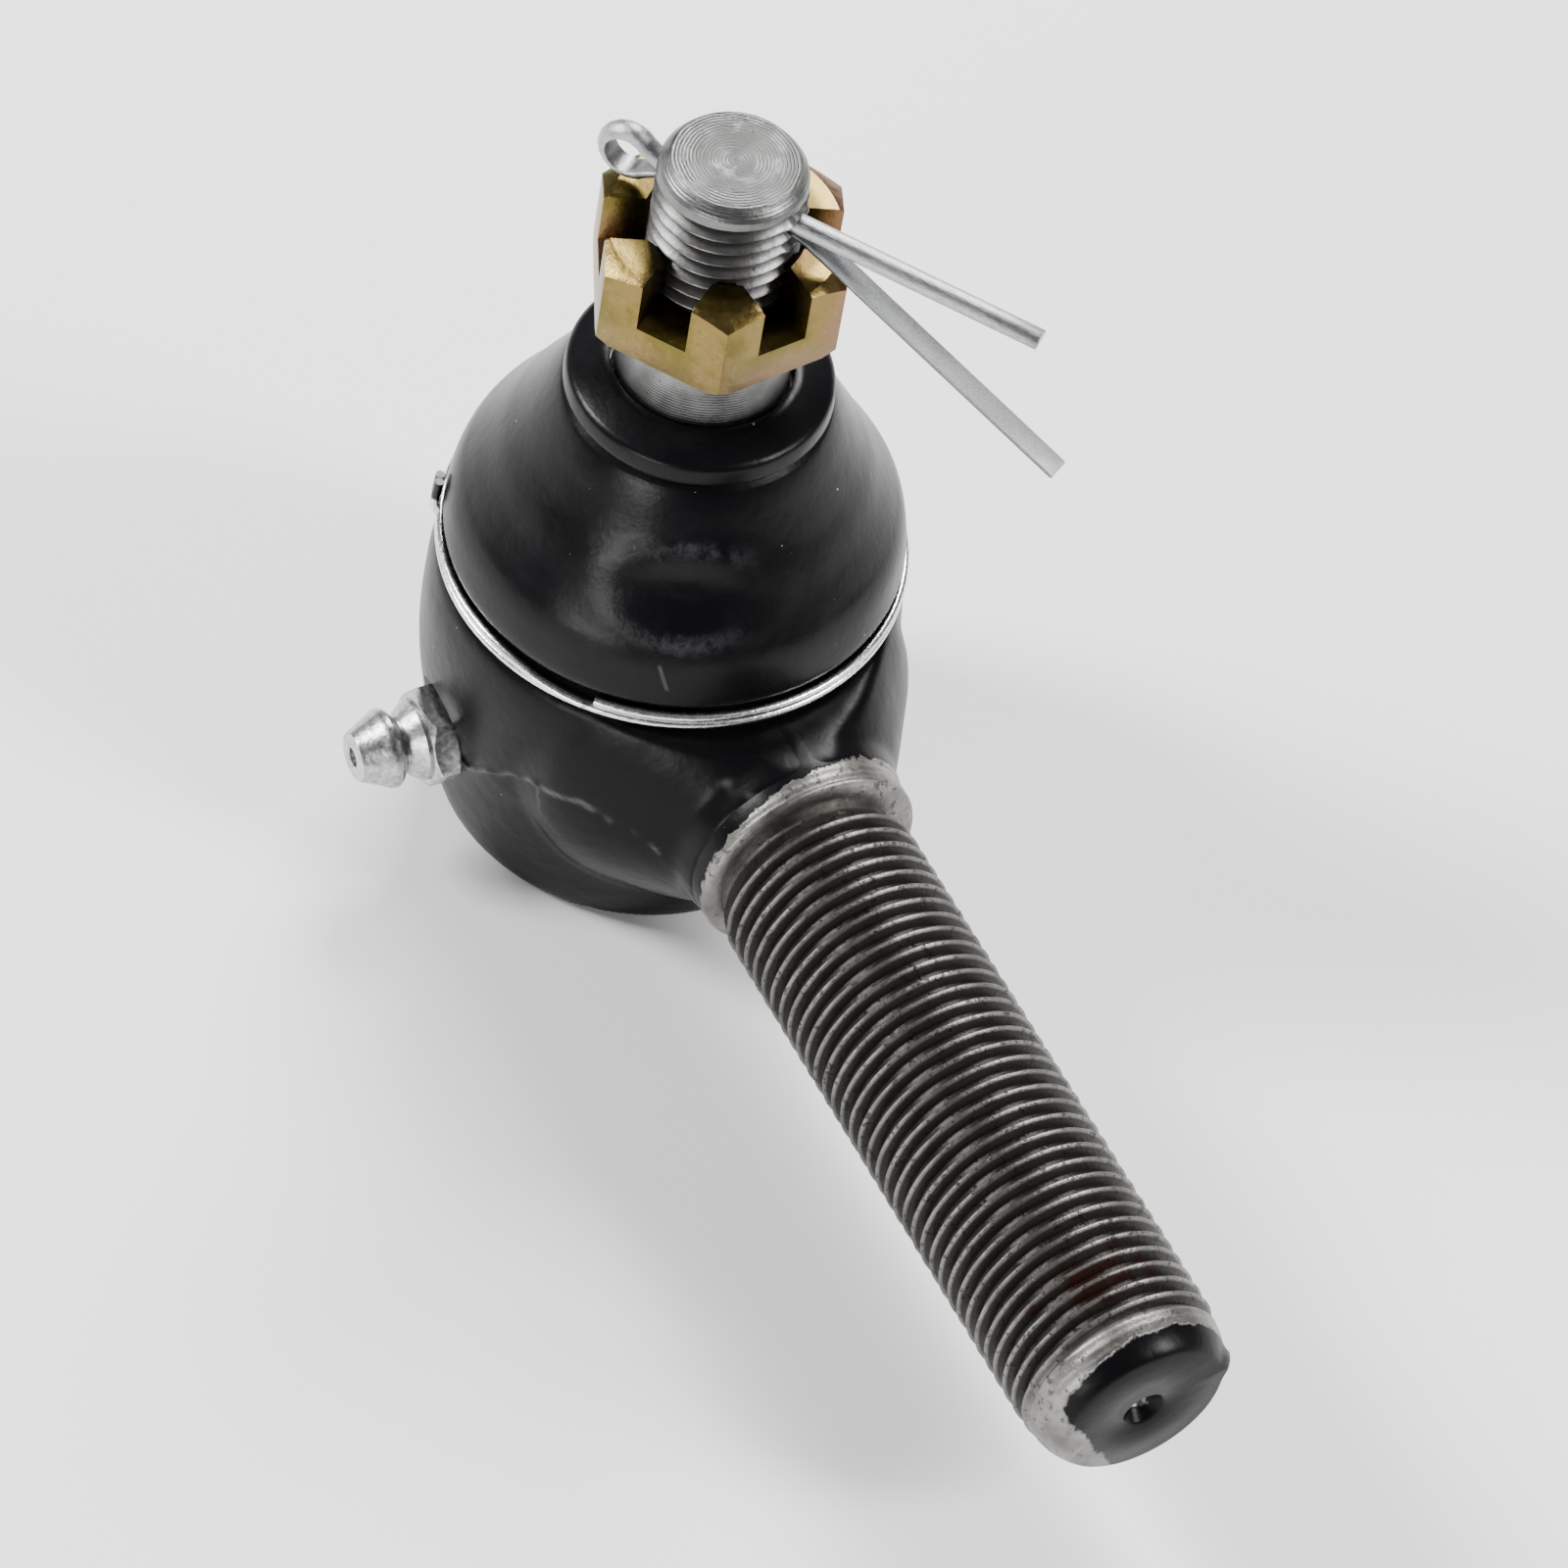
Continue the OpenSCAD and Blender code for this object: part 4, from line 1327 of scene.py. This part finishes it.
@dataclass
class DustBoot:
    """The rubber bell and the wire clip round its foot."""

    layout: Layout
    seam_z: float = 36.3
    wall: float = 2.0
    wire_r: float = 0.36
    clip_r: float = 17.56
    clip_start: float = math.radians(-46)
    tail_turn: float = math.radians(-122)
    dent_turn: float = math.radians(-27)
    outside: Outline = field(default_factory=lambda: [
        (17.0, 27.65), (17.36, 28.0), (17.48, 28.7), (17.33, 30.0), (17.05, 31.4), (16.62, 32.5), (15.95, 33.6), (14.85, 35.4),
        (13.8, 37.3), (12.75, 39.1), (11.8, 40.9), (11.0, 42.5), (10.45, 43.5), (10.15, 43.95),
    ])
    collar: Outline = field(default_factory=lambda: [
        (9.85, 44.2), (9.76, 44.32), (9.82, 44.42), (10.0, 44.52), (10.08, 44.68), (10.06, 44.9), (10.0, 45.8), (9.85, 46.15),
        (9.5, 46.35), (8.6, 46.75),
        (7.6, 47.15), (7.1, 47.3), (6.85, 47.25), (6.8, 46.9),
    ])

    def inside(self) -> Outline:
        """The inner wall, from the collar down to the land."""
        return [
            (6.95, 44.6), (7.15, 42.2), (7.6, 40.6), (9.2, 40.2), (10.2, 39.4), (11.9, 36.6), (12.9, 35.0),
            (14.0, 33.4), (14.8, 32.3), (15.2, 31.2), (15.4, 29.9), (15.52, 28.9),
        ]

    def halves(self) -> tuple[Outline, Outline]:
        """The closed outlines of the skirt and of the neck, which meet at the moulded line."""
        outer = flowing(self.outside, 5) + self.collar
        inner = flowing(self.inside(), 4)
        seam_out = along([(z, r) for r, z in outer], self.seam_z)
        seam_in = along([(z, r) for r, z in reversed(inner)], self.seam_z)
        foot = [(15.52, 25.75), (17.1, 25.75), (17.28, 25.95), (17.28, 26.2), (16.95, 26.35), (16.9, 27.15)]
        upper_out = [p for p in outer if p[1] > self.seam_z + 0.15]
        lower_out = [p for p in outer if p[1] < self.seam_z - 0.15]
        upper_in = [p for p in inner if p[1] > self.seam_z + 0.15]
        lower_in = [p for p in inner if p[1] < self.seam_z - 0.15]
        skirt = foot + lower_out + [(seam_out, self.seam_z), (seam_in, self.seam_z)] + lower_in
        neck = [(seam_in, self.seam_z), (seam_out, self.seam_z)] + upper_out + upper_in
        return skirt, neck

    def dented(self, point: Vector) -> Vector:
        """Presses the shallow dent in the bell's front and a slight waviness all round."""
        flat = Vector((point.x, point.y, 0))
        outward = flat.normalized()
        turn = math.atan2(point.y, point.x)
        side = (turn - self.dent_turn) * 14.5
        reach = math.hypot(side / 6.4, (point.z - 36.6) / 2.7)
        push = -0.42 * between(reach, 1.0, 0.25) + 0.10 * math.exp(-((reach - 1.15) / 0.28) ** 2)
        loose = between(point.z, 28.5, 31.0) * between(point.z, 43.5, 41.0)
        push += loose * 0.05 * grain(point, 7.0, 4.0)
        return point + outward * push * loose

    def bell(self) -> list[bpy.types.Object]:
        """Builds the boot's two halves."""
        made = []
        skirt, neck = self.halves()
        for name, outline in (("boot_skirt", skirt), ("boot_neck", neck)):
            piece = Workpiece(name, spun(outline, 144, closed=True)).reshape(self.dented)
            body = piece.finish("", "boot_rubber", BootRubber(), 55)
            made.append(body)
        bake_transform(made[0], "socket", "boot_swing", start=(0, 0, 0.0286), end=(0, 0, self.seam_z * MM))
        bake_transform(made[1], "boot_swing", "boot_neck", start=(0, 0, self.seam_z * MM), end=(0, 0, 0.0432))
        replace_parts(made[0], "dust_boot")
        return made

    def wire_frames(self, spots: list[Vector]) -> list[Matrix]:
        """Finds the frames that a wire's round section is swept along.

        Args:
            spots: the wire's centre line.

        Returns:
            One frame for each spot, square to the wire.
        """
        frames = []
        for i, spot in enumerate(spots):
            run = (spots[min(i + 1, len(spots) - 1)] - spots[max(i - 1, 0)]).normalized()
            side = Vector((spot.x, spot.y, 0)).normalized()
            up = run.cross(side).normalized()
            frames.append(Matrix.Translation(spot) @ Matrix((up.cross(run), up, run)).transposed().to_4x4())
        return frames

    def clip(self) -> bpy.types.Object:
        """Builds the clip: two turns of wire, and their upright tail."""
        steps = 240
        loop = []
        for i in range(steps + 1):
            angle = self.clip_start + math.tau * 2 * i / steps
            drop = self.wire_r * 1.12 * (1 - 2 * between(i / steps, 0.455, 0.495))
            loop.append(Vector((self.clip_r * math.cos(angle), self.clip_r * math.sin(angle), self.layout.clip_z + drop)))
        strands = [loop]
        for side in (-1, 1):
            angle = self.tail_turn + side * self.wire_r / self.clip_r
            strand = []
            for out, up in ((0.3, -0.1), (0.5, 0.4), (0.52, 1.2), (0.46, 2.2), (0.36, 3.2)):
                reach = self.clip_r + out
                strand.append(Vector((reach * math.cos(angle), reach * math.sin(angle), self.layout.clip_z + up)))
            strands.append(strand)
        ring = [(self.wire_r * math.cos(math.tau * k / 14), self.wire_r * math.sin(math.tau * k / 14)) for k in range(14)]
        piece = Workpiece("boot_clip_wire", joined(*[swept(ring, self.wire_frames(strand)) for strand in strands]))
        made = piece.finish("socket", "bright_zinc", Plated("clip_zinc", rough=0.16, dirt=0.15, tone=(0.66, 0.67, 0.68), pale=(0.88, 0.88, 0.88), dark_from=27.9), 50)
        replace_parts(made, "boot_clip")
        return made

    def build(self) -> list[bpy.types.Object]:
        """Builds the boot and its clip."""
        return self.bell() + [self.clip()]


@dataclass
class GreaseNipple:
    """The hydraulic grease nipple in the socket's side."""

    layout: Layout
    seat: float = 17.5
    hex_af: float = 7.14
    hex_h: float = 2.1
    collar_r: float = 3.2
    neck_r: float = 2.3
    neck_h: float = 1.9
    head_r: float = 3.1
    head_h: float = 3.4
    mouth_r: float = 0.75

    def build(self) -> list[bpy.types.Object]:
        """Builds the nipple's turned body on its hexagon."""
        top = self.hex_h + self.neck_h + self.head_h
        head = self.hex_h + self.neck_h
        body = spun([
            (self.mouth_r, top - 0.6), (self.mouth_r, top - 0.08), (self.mouth_r + 0.08, top), (1.72, top), (1.95, top - 0.1),
            (self.head_r - 0.2, head + 1.28), (self.head_r - 0.03, head + 1.02), (self.head_r, head + 0.8), (self.head_r, head + 0.5),
            (self.head_r - 0.12, head + 0.3), (2.75, head + 0.12), (2.5, head - 0.05), (self.neck_r, head - 0.25),
            (self.neck_r, head - 0.5), (self.neck_r + 0.35, self.hex_h + 1.0), (self.collar_r - 0.15, self.hex_h + 0.45),
            (self.collar_r, self.hex_h + 0.28), (self.collar_r, self.hex_h - 0.4), (2.8, self.hex_h - 0.5), (2.8, -4.2),
            (1.25, -4.2), (1.25, top - 0.6),
        ], 72, closed=True)
        corner = self.hex_af / 2 / math.cos(math.radians(30))
        piece = Workpiece("grease_nipple_body", prism(6, corner, 0.02, self.hex_h, math.radians(0)))
        dome = spun([(0, -0.2), (corner - 0.5, -0.1), (corner + 0.02, 0.3), (corner + 0.02, self.hex_h - 0.5), (self.hex_af / 2 - 0.1, self.hex_h), (0, self.hex_h + 0.01)], 96)
        bore = spun([(0, -5), (1.25, -5), (1.25, top - 0.6), (self.mouth_r, top - 0.6), (self.mouth_r, top + 1), (0, top + 1)], 48)
        piece.boolean("INTERSECT", dome)
        piece.modify("BEVEL", width=0.1, segments=2, limit_method="ANGLE", angle_limit=math.radians(28))
        piece.boolean("UNION", body).boolean("DIFFERENCE", bore)
        piece.object.data.transform(nipple_frame(self.layout, self.seat))
        made = piece.finish("socket", "bright_zinc", Plated("nipple_zinc", rough=0.22, dirt=0.5, tone=(0.34, 0.345, 0.345), pale=(0.62, 0.62, 0.62)), 28)
        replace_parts(made, "grease_nipple")
        return [made]


class InnerPieces:
    """The CAD pieces that stay: their shapes are right and only need a finish."""

    finishes: dict[str, Finish] = {
        "upper_seat": MouldedPlastic(),
        "lower_seat": MouldedPlastic(),
        "preload_spring": PlainMetal(),
        "snap_ring": PlainMetal("ring_steel", tone=(0.20, 0.20, 0.21), pale=(0.30, 0.30, 0.31)),
        "cover_plate": PlainMetal("cover_steel", tone=(0.16, 0.16, 0.165), pale=(0.24, 0.24, 0.245), rough=0.42),
        "cover_seal": MouldedPlastic("seal_rubber", tone=(0.02, 0.02, 0.02), shade_tone=(0.03, 0.03, 0.03), rough=0.6),
        "boot_neck_ring": PlainMetal("ring_plate", tone=(0.34, 0.34, 0.35)),
        "nipple_ball": PlainMetal("ball_steel", tone=(0.55, 0.55, 0.56), pale=(0.7, 0.7, 0.71), rough=0.18),
        "nipple_spring": PlainMetal(),
    }

    def build(self) -> list[bpy.types.Object]:
        """Dresses each CAD piece that stays."""
        made = []
        for name, finish in self.finishes.items():
            node = frame["nodes"][name]
            node.data.materials.clear()
            node.data.materials.append(finish.material())
            made.append(node)
        return made


# ---------------------------------------------------------------- studio


@dataclass
class Lamp:
    """One soft rectangular light, aimed at a point."""

    name: str
    place: tuple[float, float, float]
    size: tuple[float, float]
    watts: float
    target: tuple[float, float, float] = (0.02, 0.0, 0.03)
    colour: tuple[float, float, float] = (1.0, 1.0, 1.0)

    def build(self) -> bpy.types.Object:
        """Adds the light."""
        data = bpy.data.lights.new(self.name, "AREA")
        data.shape = "RECTANGLE"
        data.size, data.size_y = self.size
        data.energy = self.watts
        data.color = self.colour
        lamp = bpy.data.objects.new(self.name, data)
        bpy.context.scene.collection.objects.link(lamp)
        lamp.location = self.place
        lamp.rotation_euler = (Vector(self.target) - Vector(self.place)).to_track_quat("-Z", "Y").to_euler()
        return lamp


@dataclass
class Studio:
    """The floor, the lights and the camera."""

    azimuth: float = math.radians(-35.54)
    elevation: float = math.radians(50.64)
    roll: float = math.radians(10.805)
    distance: float = 0.625
    target: Vector = field(default_factory=lambda: Vector((0.01318, 0.00495, 0.01024)))
    lens: float = 188.47
    floor_size: float = 3.0
    world: float = 0.09
    lamps: tuple[Lamp, ...] = (
        Lamp("key_left", (-0.62, -0.80, 0.85), (0.30, 0.42), 26.0),
        Lamp("fill_right", (0.80, 0.75, 0.85), (0.30, 0.45), 20.0),
        Lamp("top_back", (-0.70, 0.60, 1.0), (0.6, 0.3), 26.0),
        Lamp("low_front", (0.55, -1.05, 0.32), (0.5, 0.2), 7.0),
    )

    def camera(self) -> bpy.types.Object:
        """Adds the camera, rolled a little about its line of sight."""
        flat = math.cos(self.elevation)
        away = Vector((flat * math.cos(self.azimuth), flat * math.sin(self.azimuth), math.sin(self.elevation)))
        data = bpy.data.cameras.new("camera")
        data.lens = self.lens
        data.sensor_width = 36.0
        data.clip_start = 0.01
        data.clip_end = 20.0
        made = bpy.data.objects.new("camera", data)
        bpy.context.scene.collection.objects.link(made)
        made.location = self.target + away * self.distance
        turn = away.to_track_quat("Z", "Y") @ Matrix.Rotation(self.roll, 3, "Z").to_quaternion()
        made.rotation_euler = turn.to_euler()
        bpy.context.scene.camera = made
        return made

    def floor(self) -> bpy.types.Object:
        """Adds the pale floor that the part stands on."""
        bm = bmesh.new()
        bmesh.ops.create_grid(bm, x_segments=8, y_segments=8, size=self.floor_size / 2)
        mesh = bpy.data.meshes.new("studio_floor")
        bm.to_mesh(mesh)
        bm.free()
        mesh.materials.append(StudioFloor().material())
        made = bpy.data.objects.new("studio_floor", mesh)
        bpy.context.scene.collection.objects.link(made)
        return made

    def sky(self) -> None:
        """Sets an even, soft light all round."""
        world = bpy.data.worlds.new("studio")
        world.use_nodes = True
        world.node_tree.nodes["Background"].inputs["Color"].default_value = (1.0, 1.0, 1.0, 1.0)
        world.node_tree.nodes["Background"].inputs["Strength"].default_value = self.world
        bpy.context.scene.world = world

    def build(self) -> None:
        """Sets up the whole studio."""
        self.camera()
        self.floor()
        self.sky()
        for lamp in self.lamps:
            lamp.build()


def main() -> None:
    """Builds the studio and every piece of the tie rod end."""
    logging.basicConfig(level=logging.INFO, format="%(name)s: %(message)s")
    Studio().build()
    layout = Layout.from_frame()
    assemblies = (SocketForging(layout), BallStud(layout), DustBoot(layout), GreaseNipple(layout), InnerPieces())
    for assembly in assemblies:
        pieces = assembly.build()
        LOG.info("%s: %s", type(assembly).__name__, ", ".join(piece.name for piece in pieces))


if __name__ == "__main__":
    main()
